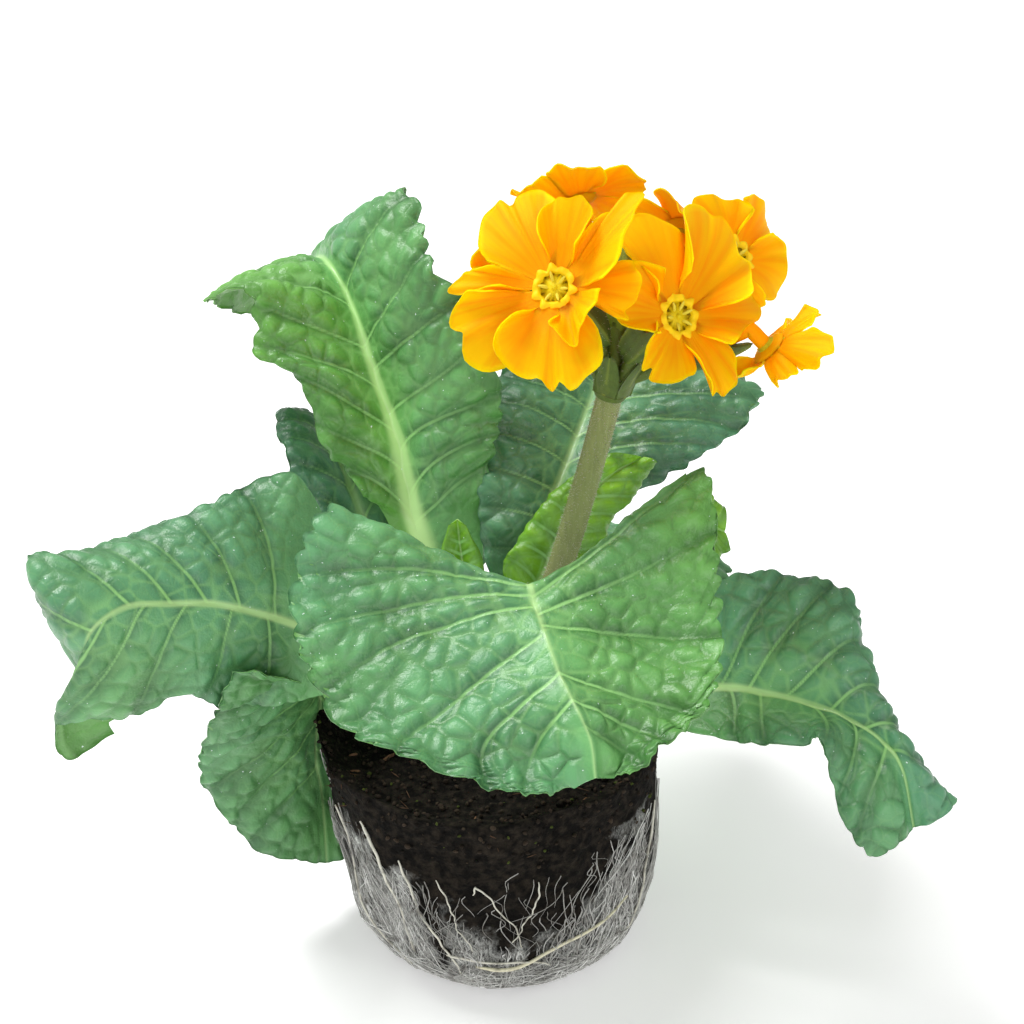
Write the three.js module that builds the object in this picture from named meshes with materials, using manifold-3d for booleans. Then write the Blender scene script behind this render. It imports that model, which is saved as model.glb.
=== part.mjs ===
// A polyanthus (a primula with an umbel of flowers on one stalk), lifted from its pot: a plug of
// compost held by white roots, a rosette of quilted leaves, and one stalk with its head of flowers.
// Millimetres, +Z up. The origin is the centre of the plug's flat underside, and -Y is the front.
import * as THREE from "three";
import { mergeVertices } from "three/addons/utils/BufferGeometryUtils.js";
import Module from "manifold-3d";

const wasm = await Module();
wasm.setup();

// Driving dimensions
const PLUG_HEIGHT = 58; // the pot was a 9 cm one, filled to about 6 cm
const PLUG_LEAN = -4; // the top's centre lies this far along X from the base's
const PLUG_PROFILE = [
  // [height, radius] of the plug's side, from the flat base to the rim
  [0, 27],
  [1.6, 30.4],
  [5, 34],
  [11, 36.9],
  [20, 38.2],
  [32, 39.4],
  [46, 41],
  [PLUG_HEIGHT, 42.2],
];
const SOIL_DIP = 5; // the soil's surface lies this far below the rim
const RIM_WIDTH = 3.2;
const GAP = 0.3; // clearance between neighbouring solids
const CROWN_RADIUS = 8.5;
const CROWN_HEIGHT = 21;
const CROWN_SUNK = 9; // how deep the crown stands in its hole in the soil
const BLADE = 0.8; // thickness of a leaf's blade
const RIB = 1.5; // how much thicker a leaf is along its midrib
const PETAL = 0.65; // thickness of a petal

const SOIL_LEVEL = PLUG_HEIGHT - SOIL_DIP;

// Materials
const finish = (color, roughness) =>
  new THREE.MeshStandardMaterial({ color, roughness, metalness: 0, side: THREE.DoubleSide });
const SOIL = finish(0x2a211c, 0.95);
const ROOT = finish(0xb9b3a2, 0.8);
const LEAF = finish(0x2f6b35, 0.5);
const YOUNG_LEAF = finish(0x6fae1f, 0.5);
const CROWN = finish(0x9aa65c, 0.7);
const STALK = finish(0x75684f, 0.7);
const SEPAL = finish(0x3f5316, 0.6);
const COROLLA = finish(0xffa800, 0.55);
const EYE = finish(0xf2e21a, 0.6);

// Small mathematics
const clamp = (x, low, high) => Math.min(high, Math.max(low, x));
const smooth = (x) => {
  const t = clamp(x, 0, 1);
  return t * t * (3 - 2 * t);
};
const radians = (degrees) => (degrees * Math.PI) / 180;
const vector = (p) => new THREE.Vector3(...p);
const UP = vector([0, 0, 1]);
const UNIT = vector([1, 1, 1]);

// Repeatable random numbers from 0 to 1
function randomFrom(seed) {
  let state = seed >>> 0;
  return () => {
    state = (state + 0x6d2b79f5) >>> 0;
    let t = Math.imul(state ^ (state >>> 15), 1 | state);
    t = (t + Math.imul(t ^ (t >>> 7), 61 | t)) ^ t;
    return ((t ^ (t >>> 14)) >>> 0) / 4294967296;
  };
}

// Solids
function toSolid(geometry) {
  const bare = geometry.clone();
  bare.deleteAttribute("normal");
  bare.deleteAttribute("uv");
  const merged = mergeVertices(bare, 1e-4);
  return new wasm.Manifold(
    new wasm.Mesh({
      numProp: 3,
      vertProperties: new Float32Array(merged.getAttribute("position").array),
      triVerts: new Uint32Array(merged.index.array),
    }),
  );
}

function toGeometry(solid) {
  const { numProp, vertProperties, triVerts } = solid.getMesh();
  const count = vertProperties.length / numProp;
  const position = new Float32Array(count * 3);
  for (let i = 0; i < count; i++) {
    position.set(vertProperties.subarray(i * numProp, i * numProp + 3), i * 3);
  }
  const geometry = new THREE.BufferGeometry();
  geometry.setAttribute("position", new THREE.BufferAttribute(position, 3));
  geometry.setIndex(new THREE.BufferAttribute(new Uint32Array(triVerts), 1));
  geometry.computeVertexNormals();
  return geometry;
}

const biggest = (solid) => solid.decompose().reduce((a, b) => (a.volume() > b.volume() ? a : b));
const union = (solids) => solids.reduce((a, b) => a.add(b));

// A solid from the points and triangles of a closed surface, turned inside out where it has to be
function closedSolid(position, index) {
  const geometry = new THREE.BufferGeometry();
  geometry.setAttribute("position", new THREE.Float32BufferAttribute(position, 3));
  geometry.setIndex(index);
  const solid = toSolid(geometry);
  if (solid.volume() > 0) return solid;
  geometry.setIndex(index.map((_, k) => index[k - (k % 3) + [0, 2, 1][k % 3]]));
  return toSolid(geometry);
}

// A closed solid from a grid of points: rows[i][j] on its upper face and the same on its lower
// face. Both faces split their squares along the same diagonal.
function sheetSolid(upper, lower) {
  const rows = upper.length;
  const columns = upper[0].length;
  const position = [];
  for (const face of [upper, lower]) {
    for (const row of face) for (const p of row) position.push(p.x, p.y, p.z);
  }
  const at = (face, i, j) => face * rows * columns + i * columns + j;
  const index = [];
  for (let i = 0; i + 1 < rows; i++) {
    for (let j = 0; j + 1 < columns; j++) {
      const [a, b, c, d] = [[i, j], [i + 1, j], [i + 1, j + 1], [i, j + 1]];
      const even = (i + j) % 2 === 0;
      const halves = even ? [[a, b, c], [a, c, d]] : [[a, b, d], [b, c, d]];
      for (const [p, q, r] of halves) {
        index.push(at(0, ...p), at(0, ...q), at(0, ...r));
        index.push(at(1, ...p), at(1, ...r), at(1, ...q));
      }
    }
  }
  const rim = [];
  for (let i = 0; i + 1 < rows; i++) rim.push([i, 0]);
  for (let j = 0; j + 1 < columns; j++) rim.push([rows - 1, j]);
  for (let i = rows - 1; i > 0; i--) rim.push([i, columns - 1]);
  for (let j = columns - 1; j > 0; j--) rim.push([0, j]);
  rim.forEach((p, k) => {
    const q = rim[(k + 1) % rim.length];
    index.push(at(0, ...p), at(1, ...p), at(1, ...q));
    index.push(at(0, ...p), at(1, ...q), at(0, ...q));
  });
  return closedSolid(position, index);
}

// The same, from a grid of points on its middle surface and a thickness at each
function thicken(grid, thickness) {
  const rows = grid.length;
  const columns = grid[0].length;
  const upper = [];
  const lower = [];
  for (let i = 0; i < rows; i++) {
    upper.push([]);
    lower.push([]);
    for (let j = 0; j < columns; j++) {
      const down = grid[Math.min(rows - 1, i + 1)][j].clone().sub(grid[Math.max(0, i - 1)][j]);
      const over = grid[i][Math.min(columns - 1, j + 1)].clone().sub(grid[i][Math.max(0, j - 1)]);
      const normal = over.cross(down).normalize();
      const half = thickness(i / (rows - 1), (2 * j) / (columns - 1) - 1) / 2;
      upper[i].push(grid[i][j].clone().addScaledVector(normal, half));
      lower[i].push(grid[i][j].clone().addScaledVector(normal, -half));
    }
  }
  return sheetSolid(upper, lower);
}

// A solid tube through points, with a radius at each share of the way
function tubeSolid(points, radius, sides, steps) {
  const curve = new THREE.CatmullRomCurve3(points.map(vector));
  const frames = curve.computeFrenetFrames(steps, false);
  const rings = [];
  for (let i = 0; i <= steps; i++) {
    const s = i / steps;
    const centre = curve.getPointAt(s);
    rings.push([]);
    for (let k = 0; k < sides; k++) {
      const angle = (2 * Math.PI * k) / sides;
      const r = radius(s, angle);
      rings[i].push(
        centre
          .clone()
          .addScaledVector(frames.normals[i], r * Math.cos(angle))
          .addScaledVector(frames.binormals[i], r * Math.sin(angle)),
      );
    }
  }
  return ringSolid(rings, curve.getPointAt(0), curve.getPointAt(1));
}

// A closed solid through rings of points, with a point to close each end
function ringSolid(rings, first, last) {
  const sides = rings[0].length;
  const position = [];
  for (const ring of rings) for (const p of ring) position.push(p.x, p.y, p.z);
  position.push(first.x, first.y, first.z, last.x, last.y, last.z);
  const foot = rings.length * sides;
  const index = [];
  for (let i = 0; i + 1 < rings.length; i++) {
    for (let k = 0; k < sides; k++) {
      const next = (k + 1) % sides;
      const [a, b] = [i * sides + k, i * sides + next];
      index.push(a, b, b + sides, a, b + sides, a + sides);
    }
  }
  for (let k = 0; k < sides; k++) {
    const next = (k + 1) % sides;
    index.push(foot, next, k);
    index.push(foot + 1, foot - sides + k, foot - sides + next);
  }
  return closedSolid(position, index);
}

// The plug of compost
const plugCentre = (z) => PLUG_LEAN * (z / PLUG_HEIGHT);

function plugRadius(z) {
  for (let i = 0; i + 1 < PLUG_PROFILE.length; i++) {
    const [z0, r0] = PLUG_PROFILE[i];
    const [z1, r1] = PLUG_PROFILE[i + 1];
    if (z <= z1) return r0 + ((r1 - r0) * (z - z0)) / (z1 - z0);
  }
  return PLUG_PROFILE.at(-1)[1];
}

// Low lumps in the plug's side, none at its flat base
function plugLump(angle, z) {
  const waves =
    0.7 * Math.sin(3 * angle + 0.9) +
    0.5 * Math.sin(7 * angle + z / 9) +
    0.45 * Math.sin(11 * angle - z / 6 + 2);
  return waves * smooth(z / 10);
}

// The rim stands a little higher where compost clung to the pot, most of all at the left
const rimRise = (angle) =>
  1.6 * Math.exp(-((angle - Math.PI) ** 2) / 0.12) + 0.7 * Math.sin(5 * angle + 1);

function plugPoint(angle, z, out = 0) {
  const r = plugRadius(z) + plugLump(angle, z) + out;
  return new THREE.Vector3(plugCentre(z) + r * Math.cos(angle), r * Math.sin(angle), z);
}

function makePlug() {
  const sides = 32;
  const rings = [];
  const ringAt = (place) =>
    Array.from({ length: sides }, (_, k) => place((2 * Math.PI * k) / sides));
  for (const [z] of PLUG_PROFILE) {
    const top = z === PLUG_HEIGHT ? 1 : 0;
    rings.push(
      ringAt((angle) => {
        const p = plugPoint(angle, z);
        p.z += top * rimRise(angle);
        return p;
      }),
    );
  }
  const inner = (share, drop, bumps) =>
    ringAt((angle) => {
      const r = (plugRadius(PLUG_HEIGHT) - RIM_WIDTH) * share;
      const bump = bumps * (Math.sin(5 * angle + 7 * share) + 0.6 * Math.sin(9 * angle - 4 * share));
      return new THREE.Vector3(
        PLUG_LEAN + r * Math.cos(angle),
        r * Math.sin(angle),
        PLUG_HEIGHT - drop + bump,
      );
    });
  rings.push(inner(1, 0.8, 0.4));
  rings.push(inner(0.9, SOIL_DIP * 0.85, 0.5));
  rings.push(inner(0.6, SOIL_DIP, 0.6));
  rings.push(inner(0.35, SOIL_DIP, 0.1));
  const body = ringSolid(
    rings,
    new THREE.Vector3(0, 0, 0),
    new THREE.Vector3(PLUG_LEAN, 0, SOIL_LEVEL),
  );
  return body.subtract(crownSolid(GAP));
}

// The crown: the short thick stem that the leaves and the stalk grow from
const CROWN_AT = [PLUG_LEAN + 2, 0];

function crownSolid(out) {
  const [x, y] = CROWN_AT;
  const foot = SOIL_LEVEL - CROWN_SUNK;
  const profile = [
    [foot - out, 0],
    [foot - out, 0.72 * CROWN_RADIUS + out],
    [foot + 3, CROWN_RADIUS + out],
    [SOIL_LEVEL + 1, CROWN_RADIUS + out],
    [SOIL_LEVEL + 5, 0.8 * CROWN_RADIUS + out],
    [foot + CROWN_HEIGHT + out, 0.46 * CROWN_RADIUS + out],
    [foot + CROWN_HEIGHT + out, 0],
  ];
  const outline = profile.map(([z, r]) => new THREE.Vector2(r, z));
  const lathe = new THREE.LatheGeometry(outline, 12);
  lathe.rotateX(Math.PI / 2);
  lathe.translate(x, y, 0);
  return toSolid(lathe);
}

// Leaves. midrib, left, right: points of the midrib and of the two margins, from the base to the
// tip, each list as long as the others, so that a row of points runs across the leaf. A hidden
// leaf gives only its heading, in degrees from +X, and its half-width, and its margins follow.
// bow: how far each half bulges between midrib and margin. wave: [height, count, phase] of the
// margin's ruffle. flat: the share of the length that is stalk, and takes no ruffle.
const LEAVES = [
  {
    name: "leaf_front",
    midrib: [
      [-2, -5, 56], [-1, -21, 88], [5, -40, 119], [7, -48, 119], [9, -56, 117],
      [12, -65, 112.5], [15, -72, 109.5], [18, -78, 105], [19, -83, 99],
    ],
    left: [
      [-5, -4, 56], [-5, -22, 88], [-22, -30, 121], [-37, -34, 135], [-44, -50, 122],
      [-37, -66, 108], [-24, -76, 101], [-3, -82, 97], [10, -84, 96],
    ],
    right: [
      [1, -5, 56], [3, -21, 88], [19, -31, 117], [43, -21, 139], [46, -38, 121],
      [46, -54, 112], [42, -67, 106], [33, -77, 102], [26, -82, 99],
    ],
    bow: [4, 4],
    wave: [1.2, 5, 0.4],
    flat: 0.2,
  },
  {
    name: "leaf_back_left",
    midrib: [
      [-7, 3, 57], [-20, 22, 94], [-23, 28, 104], [-26, 35, 118], [-30, 41, 128],
      [-34, 47, 138], [-38, 55, 147], [-44, 65, 154], [-49, 78, 151], [-53, 90, 140],
    ],
    left: [
      [-9, 1, 57], [-28, 27, 98], [-35, 27, 109], [-43, 30, 118], [-50, 33, 136],
      [-60, 37, 142], [-62, 43, 155], [-73, 48, 152], [-72, 62, 144], [-62, 84, 134],
    ],
    right: [
      [-5, 5, 57], [-5, 22, 99], [-4, 24, 112], [-2, 26, 122], [-1, 28, 134],
      [-5, 32, 152], [-17, 42, 162], [-22, 56, 174], [-28, 72, 166], [-41, 90, 148],
    ],
    bow: [2, 3],
    wave: [1.5, 6, 0.4],
    flat: 0.1,
  },
  {
    name: "leaf_left",
    midrib: [
      [-8, -4, 58], [-27, -8, 81], [-49, -13, 94], [-56, -17, 99], [-65, -23, 105],
      [-74, -29, 108.5], [-83, -35, 111], [-90, -41, 107], [-91, -37, 92], [-88, -31, 80],
    ],
    left: [
      [-7, -6, 58], [-26, -13, 79.5], [-44, -15, 80], [-52, -17, 79], [-64, -22, 80],
      [-74, -28, 86], [-83, -33, 81], [-96, -36, 82], [-98, -33, 71], [-91, -29, 75],
    ],
    right: [
      [-9, -1, 58], [-30, 0, 88], [-46, 2, 123], [-55, 2, 124.5], [-69, -5, 121],
      [-82, -12, 119], [-95, -20, 118], [-105, -28, 120], [-99, -22, 104], [-89, -27, 86],
    ],
    bow: [2, 3],
    wave: [1.5, 4, 0.9],
    flat: 0.15,
  },
  {
    name: "leaf_right",
    midrib: [
      [4, -5, 55], [26, -12, 73], [50, -20, 81], [60.5, -25, 82.5], [71, -31, 83],
      [78, -36, 82.5], [85, -41, 80], [89, -46, 76], [92, -50, 63],
    ],
    left: [
      [6, -3.5, 55], [28, -8, 74], [49, -6, 100], [67, -8, 104.5], [80, -14, 102.5],
      [84, -22, 91], [87, -32, 82], [93, -40, 76.5], [101.5, -45, 67.5],
    ],
    right: [
      [2.5, -7, 55], [24, -17, 71], [46.5, -30, 74.5], [55, -36, 76.5], [66.5, -42, 80],
      [70, -46, 84], [73, -50, 76], [76.5, -54, 65], [82.5, -55, 58],
    ],
    bow: [3, 1],
    wave: [1.2, 4, 2.2],
    flat: 0.15,
  },
  {
    name: "leaf_low_left",
    midrib: [
      [-11, 0, 54], [-24, 1, 63], [-38, 1, 71], [-48, -3, 71], [-51.5, -2, 60],
      [-52, 2, 47], [-53, 2, 36], [-56, 0, 16],
    ],
    left: [
      [-11, 2, 54], [-24, 4, 63], [-38, 7, 70], [-48.5, 8, 69], [-50, 11, 56],
      [-50, 14, 43], [-48, 14, 30], [-45, 10, 9],
    ],
    right: [
      [-11, -2, 54], [-24, -3, 63], [-42, -9, 73], [-58.5, -28, 84], [-66, -24, 77],
      [-72, -16, 62], [-72, -10, 44], [-64, -3, 23],
    ],
    bow: [1, 2],
    wave: [1, 3, 0],
    flat: 0.25,
  },
  {
    name: "leaf_back",
    midrib: [
      [0, 6, 57], [6, 14, 88], [10, 19, 105], [14, 27, 112], [18, 37, 118.5],
      [22, 48, 124], [25, 60, 127], [29, 74, 122],
    ],
    left: [
      [-2, 6, 57], [0, 14, 86], [-1, 16, 97], [-1.5, 22, 110], [-1.5, 31, 121],
      [-1, 41, 128], [4, 54, 131], [14, 72, 127],
    ],
    right: [
      [3, 6, 57], [10, 14, 86], [20, 19, 101], [33, 24, 110], [50, 31, 117],
      [60, 38, 122.5], [65, 48, 127], [58, 66, 127],
    ],
    bow: [2, 3],
    wave: [1.4, 5, 0.3],
    flat: 0.15,
  },
  {
    name: "leaf_inner_left",
    midrib: [
      [-8.5, 4.5, 54], [-28, 20, 81], [-36, 34, 98], [-42, 45, 109], [-47, 56, 114],
      [-52, 67, 108],
    ],
    left: [
      [-9.5, 3, 54], [-32, 16, 81], [-46, 27, 97], [-54, 37, 112], [-58, 49, 118],
      [-59, 64, 109],
    ],
    right: [
      [-7, 6, 54], [-24, 24, 80], [-27, 40, 97], [-31, 51, 106], [-37, 62, 111],
      [-46, 71, 106],
    ],
    bow: [2, 2],
    wave: [1.2, 5, 0.3],
    flat: 0.2,
  },
  {
    name: "leaf_young_back",
    midrib: [
      [-1, 5, 61], [4, 7, 82], [10, 8, 96], [13.5, 11, 105], [19, 15, 112],
      [26.5, 20, 117], [34, 25, 119],
    ],
    left: [
      [-2.5, 5, 61], [1, 7, 82], [0, 8, 97], [3, 10, 104], [9, 14, 111.5],
      [16, 18, 117], [25, 23, 121],
    ],
    right: [
      [0.5, 5, 61], [8, 7, 81], [17.5, 9, 94], [24, 12, 101.5], [27, 15, 107],
      [33, 20, 112], [38, 25, 117],
    ],
    bow: [1.5, 1.5],
    wave: [0.7, 5, 0.3],
    flat: 0.2,
    young: true,
  },
  {
    name: "leaf_young_right",
    midrib: [[6.5, -1, 57], [22, -1, 82], [35, 3, 100], [46, 6, 110], [53, 7, 108]],
    left: [[6.5, 1, 57], [20.5, 1, 84], [33, 5, 107], [46, 7, 119], [53, 9, 114]],
    right: [[6.5, -3, 57], [24, -3, 80], [41, 1, 95], [50, 3, 101], [54.5, 6, 103]],
    bow: [1, 1],
    wave: [0.7, 5, 0.3],
    flat: 0.25,
    young: true,
  },
  {
    name: "leaf_bud",
    midrib: [[-4, 2, 64], [-8, 6, 86], [-10, 9, 97], [-11, 11, 105]],
    left: [[-5, 0.5, 64], [-11, 4, 86], [-14, 6, 97], [-13, 10, 105]],
    right: [[-2.5, 2.5, 64], [-5.5, 4, 86], [-6, 6, 97], [-9, 10, 105]],
    bow: [0.5, 0.5],
    wave: [0, 5, 0],
    flat: 0.2,
    young: true,
  },
  {
    name: "leaf_low_right",
    midrib: [[5, 3, 54], [27, 10, 68], [48, 17, 75], [66, 24, 70], [80, 30, 55]],
    heading: 20,
    half: 22,
    bow: [3, 3],
    wave: [1.8, 4, 2.3],
    flat: 0.3,
  },
  {
    name: "leaf_low_back_right",
    midrib: [[2, 8, 56], [15, 27, 73], [28, 50, 78], [38, 72, 71], [45, 89, 56]],
    heading: 61,
    half: 23,
    bow: [3, 3],
    wave: [1.8, 4, 0.3],
    flat: 0.3,
  },
  {
    name: "leaf_low_back_left",
    midrib: [[-4, 8, 55], [-17, 29, 71], [-26, 52, 78], [-32, 75, 73], [-36, 94, 58]],
    heading: 112,
    half: 23,
    bow: [3, 3],
    wave: [1.8, 4, 1.3],
    flat: 0.3,
  },
];

// A hidden leaf's margin: out from the midrib to its half-width, and in again toward the tip
function plainMargin(leaf, side) {
  const last = leaf.midrib.length - 1;
  const heading = radians(leaf.heading);
  return leaf.midrib.map(([x, y, z], i) => {
    const s = i / last;
    const open = smooth((s - 0.1) / 0.5) * Math.sqrt(1 - smooth((s - 0.62) / 0.42) ** 2);
    const out = side * (2.5 + (leaf.half - 2.5) * open);
    return [x + out * Math.sin(heading), y - out * Math.cos(heading), z - 0.12 * Math.abs(out)];
  });
}

const railOf = (points) => new THREE.CatmullRomCurve3(points.map(vector), false, "catmullrom", 0.5);

function railsOf(leaf) {
  return {
    midrib: railOf(leaf.midrib),
    left: railOf(leaf.left ?? plainMargin(leaf, -1)),
    right: railOf(leaf.right ?? plainMargin(leaf, 1)),
  };
}

// The point of a leaf at share s of its length and t from its left margin, -1, to its right, 1
function leafPoint(leaf, rails, s, t) {
  const middle = rails.midrib.getPoint(s);
  const [left, right] = [rails.left.getPoint(s), rails.right.getPoint(s)];
  const edge = t > 0 ? right : left;
  const reach = Math.abs(t);
  const tangent = rails.midrib.getTangent(clamp(s, 0.001, 0.999));
  const normal = right.clone().sub(left).cross(tangent).normalize();
  const open = smooth((s - leaf.flat) / 0.3);
  const [height, count, phase] = leaf.wave;
  const turns = 2 * Math.PI * count * s + phase + (t > 0 ? 1.7 : 0);
  const ruffle = height * reach ** 3 * Math.sin(turns);
  const bow = leaf.bow[t > 0 ? 1 : 0] * 4 * reach * (1 - reach);
  return middle.lerp(edge, reach).addScaledVector(normal, open * (bow + ruffle));
}

function leafSolid(leaf, rows, columns) {
  const rails = railsOf(leaf);
  const grid = [];
  for (let i = 0; i <= rows; i++) {
    const row = [];
    for (let j = 0; j <= columns; j++) {
      row.push(leafPoint(leaf, rails, i / rows, (2 * j) / columns - 1));
    }
    grid.push(row);
  }
  const rib = (s, t) => RIB * (1 - 0.7 * s) * Math.exp(-((t / 0.2) ** 2));
  return thicken(grid, (s, t) => BLADE + rib(s, t));
}

// The scape: the stalk that carries the flowers, and the small bracts at its top
const SCAPE = [[0.5, 0.5, 58], [6, 0.3, 79], [13.5, 0, 102], [20, -1, 128], [25, -2, 151]];
const HEAD = vector(SCAPE.at(-1));
const SCAPE_RADIUS = 3;
const HEAD_RADIUS = 3.8; // the scape widens where the pedicels leave it

const scapeSolid = (out) =>
  tubeSolid(SCAPE, (s) => (s > 0.95 ? HEAD_RADIUS : SCAPE_RADIUS) + out, 10, 9);

// What a pedicel is cut by, so that it ends just above the scape's top
const scapeRoom = () => scapeSolid(GAP).add(scapeSolid(GAP).translate([0, 0, GAP]));

// Flowers. at: the centre of the face. facing: where it looks. size: its radius. turn: the angle
// of the first petal. reflex: how far the petals bend back. lean: the way, in degrees, in which
// they bend back further, and by how much. cup: the foot of the calyx, on its pedicel. root: the
// way, in degrees round the scape's top, to where the pedicel starts.
const FLOWERS = [
  {
    name: "flower_front",
    at: [11, -17, 179],
    facing: [-0.3, -0.76, 0.56],
    size: 24,
    turn: -19,
    reflex: 0.24,
    lean: [0, -2.5],
    cup: [20, -5, 164],
    root: 255,
  },
  {
    name: "flower_front_right",
    at: [38, -16, 172],
    facing: [0.5, -0.74, 0.45],
    size: 22,
    turn: 52,
    reflex: 0.24,
    lean: [165, 8],
    cup: [30, -6, 161],
    root: 305,
  },
  {
    name: "flower_back_right",
    at: [52.3, 6, 177.5],
    facing: [0.62, -0.55, 0.55],
    size: 16,
    turn: 5,
    reflex: 0.16,
    lean: [190, 4],
    cup: [38, 6, 167],
    root: 48,
  },
  {
    name: "flower_right",
    at: [59.5, -5.5, 160],
    facing: [0.72, 0, -0.69],
    size: 15.5,
    turn: -15,
    reflex: -0.2,
    lean: [90, 10],
    cup: [43, -5, 159],
    root: 356,
  },
  {
    name: "flower_back",
    at: [42, 28, 176],
    facing: [0.35, 0.85, 0.4],
    size: 14,
    turn: 20,
    reflex: 0.24,
    lean: [150, 8],
    cup: [31, 11, 167],
    root: 100,
  },
  {
    name: "flower_back_left",
    at: [17, 18, 187],
    facing: [-0.25, 0.6, 0.75],
    size: 17,
    turn: 50,
    reflex: 0.24,
    lean: [180, 4],
    cup: [22, 7, 169],
    root: 152,
  },
  {
    name: "flower_left",
    at: [-1, 12, 168],
    facing: [-0.8, 0.55, 0.1],
    size: 17,
    turn: 5,
    reflex: 0.24,
    lean: [0, 0],
    cup: [15, 3, 165],
    root: 204,
  },
];
const CROWDED = 30; // flowers nearer than this may cross, and the later one makes room
const PETALS = 5;
const CALYX_LENGTH = 11;
const CALYX_RADIUS = 2.9;
const PEDICEL_RADIUS = 0.95;

function frameOf(flower) {
  const out = vector(flower.facing).normalize();
  const right = UP.clone().cross(out).normalize();
  const up = out.clone().cross(right);
  return new THREE.Matrix4().makeBasis(right, up, out).setPosition(...flower.at);
}

const placed = (solid, matrix) => solid.transform(Array.from(matrix.elements));

// A solid of revolution about +Z from [height, radius] pairs, its radius changed by shape
function turned(profile, sides, shape = () => 1, lift = () => 0) {
  const rings = profile.map(([z, r], i) =>
    Array.from({ length: sides }, (_, k) => {
      const angle = (2 * Math.PI * k) / sides;
      const reach = r * shape(angle, i);
      return new THREE.Vector3(reach * Math.cos(angle), reach * Math.sin(angle), z + lift(angle, i));
    }),
  );
  const ends = [profile[0][0], profile.at(-1)[0]].map((z) => new THREE.Vector3(0, 0, z));
  return ringSolid(rings, ...ends);
}

// The point of a petal at share a from the throat to its edge and b across it, from -1 to 1
function petalPoint(flower, k, a, b) {
  const pitch = (2 * Math.PI) / PETALS;
  const angle = radians(flower.turn) + pitch * k;
  const { size } = flower;
  const notch = 0.2 * Math.exp(-((b / 0.3) ** 2));
  const edge = size * (1 - notch - 0.22 * b * b);
  const throat = 3.4;
  const reach = throat + (edge - throat) * a;
  const widest = 0.62 * size;
  const width = 2 + (widest - 2) * Math.sin((Math.PI / 2) * Math.min(1, a * 1.2)) ** 1.1;
  const [x, y] = [
    reach * Math.cos(angle) - width * b * Math.sin(angle),
    reach * Math.sin(angle) + width * b * Math.cos(angle),
  ];
  const far = Math.hypot(x, y) / size;
  const open = smooth((reach - 4.5) / 6);
  const wobble = 0.9 * Math.sin(4.2 * b + 1.7 * k + flower.turn);
  const [toward, amount] = flower.lean;
  const swept = amount * Math.max(0, Math.cos(Math.atan2(y, x) - radians(toward))) * far ** 2;
  const bent = flower.reflex * size * far ** 3 + swept;
  const rise = 0.12 * size * a + 1.4 * b * a + a * a * wobble - bent;
  return new THREE.Vector3(x, y, open * rise - 0.2);
}

// The corolla: five notched petals, each lapping the next, on one tube down into the calyx
function corollaSolid(flower, out) {
  const rows = 3;
  const columns = 4;
  const frame = frameOf(flower);
  const petals = [];
  for (let k = 0; k < PETALS; k++) {
    const grid = [];
    for (let i = 0; i <= rows; i++) {
      const row = [];
      for (let j = 0; j <= columns; j++) {
        row.push(petalPoint(flower, k, i / rows, (2 * j) / columns - 1));
      }
      grid.push(row);
    }
    petals.push(thicken(grid, () => PETAL + 2 * out));
  }
  const collar = turned([[-5 - out, 2 + out], [-1.2, 4.4 + out], [0.1 + out, 4.6 + out]], 8);
  const bore = turned([[-4.4, 1.6], [-0.4, 3.5], [1.5, 3.9]], 8);
  const face = placed(union([collar, ...petals]), frame);
  const behind = (z) => new THREE.Vector3(0, 0, z).applyMatrix4(frame);
  const cup = cupAxis(flower);
  const route = [behind(-4), behind(-7), cup.at(CALYX_LENGTH), cup.at(2)].map((p) => p.toArray());
  const tube = tubeSolid(route, () => 1.7 + out, 6, 4);
  return face.add(tube).subtract(placed(bore, frame));
}

// The line of a calyx, from its foot toward the back of its flower
function cupAxis(flower) {
  const foot = vector(flower.cup);
  const throat = new THREE.Vector3(0, 0, -7).applyMatrix4(frameOf(flower));
  const along = throat.sub(foot).normalize();
  return { foot, along, at: (d) => foot.clone().addScaledVector(along, d) };
}

// The yellow eye: a scalloped ring round the throat, a funnel into it, and the anthers there
function eyeSolid() {
  const funnel = turned(
    [[-3.6, 1.1], [0.4, 2.9], [0.7, 4.9], [1.3, 4.5], [1.2, 2.4], [-2.6, 0.6]],
    10,
    (angle, i) => (i === 2 || i === 3 ? 1 + 0.07 * Math.cos(5 * angle) : 1),
  );
  const anthers = Array.from({ length: 5 }, (_, k) => {
    const anther = new THREE.OctahedronGeometry(0.7);
    anther.scale(0.8, 0.8, 2);
    anther.rotateY(0.5);
    anther.translate(1.9, 0, -0.5);
    anther.rotateZ((2 * Math.PI * k) / 5);
    return toSolid(anther);
  });
  return union([funnel, ...anthers]);
}

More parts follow.
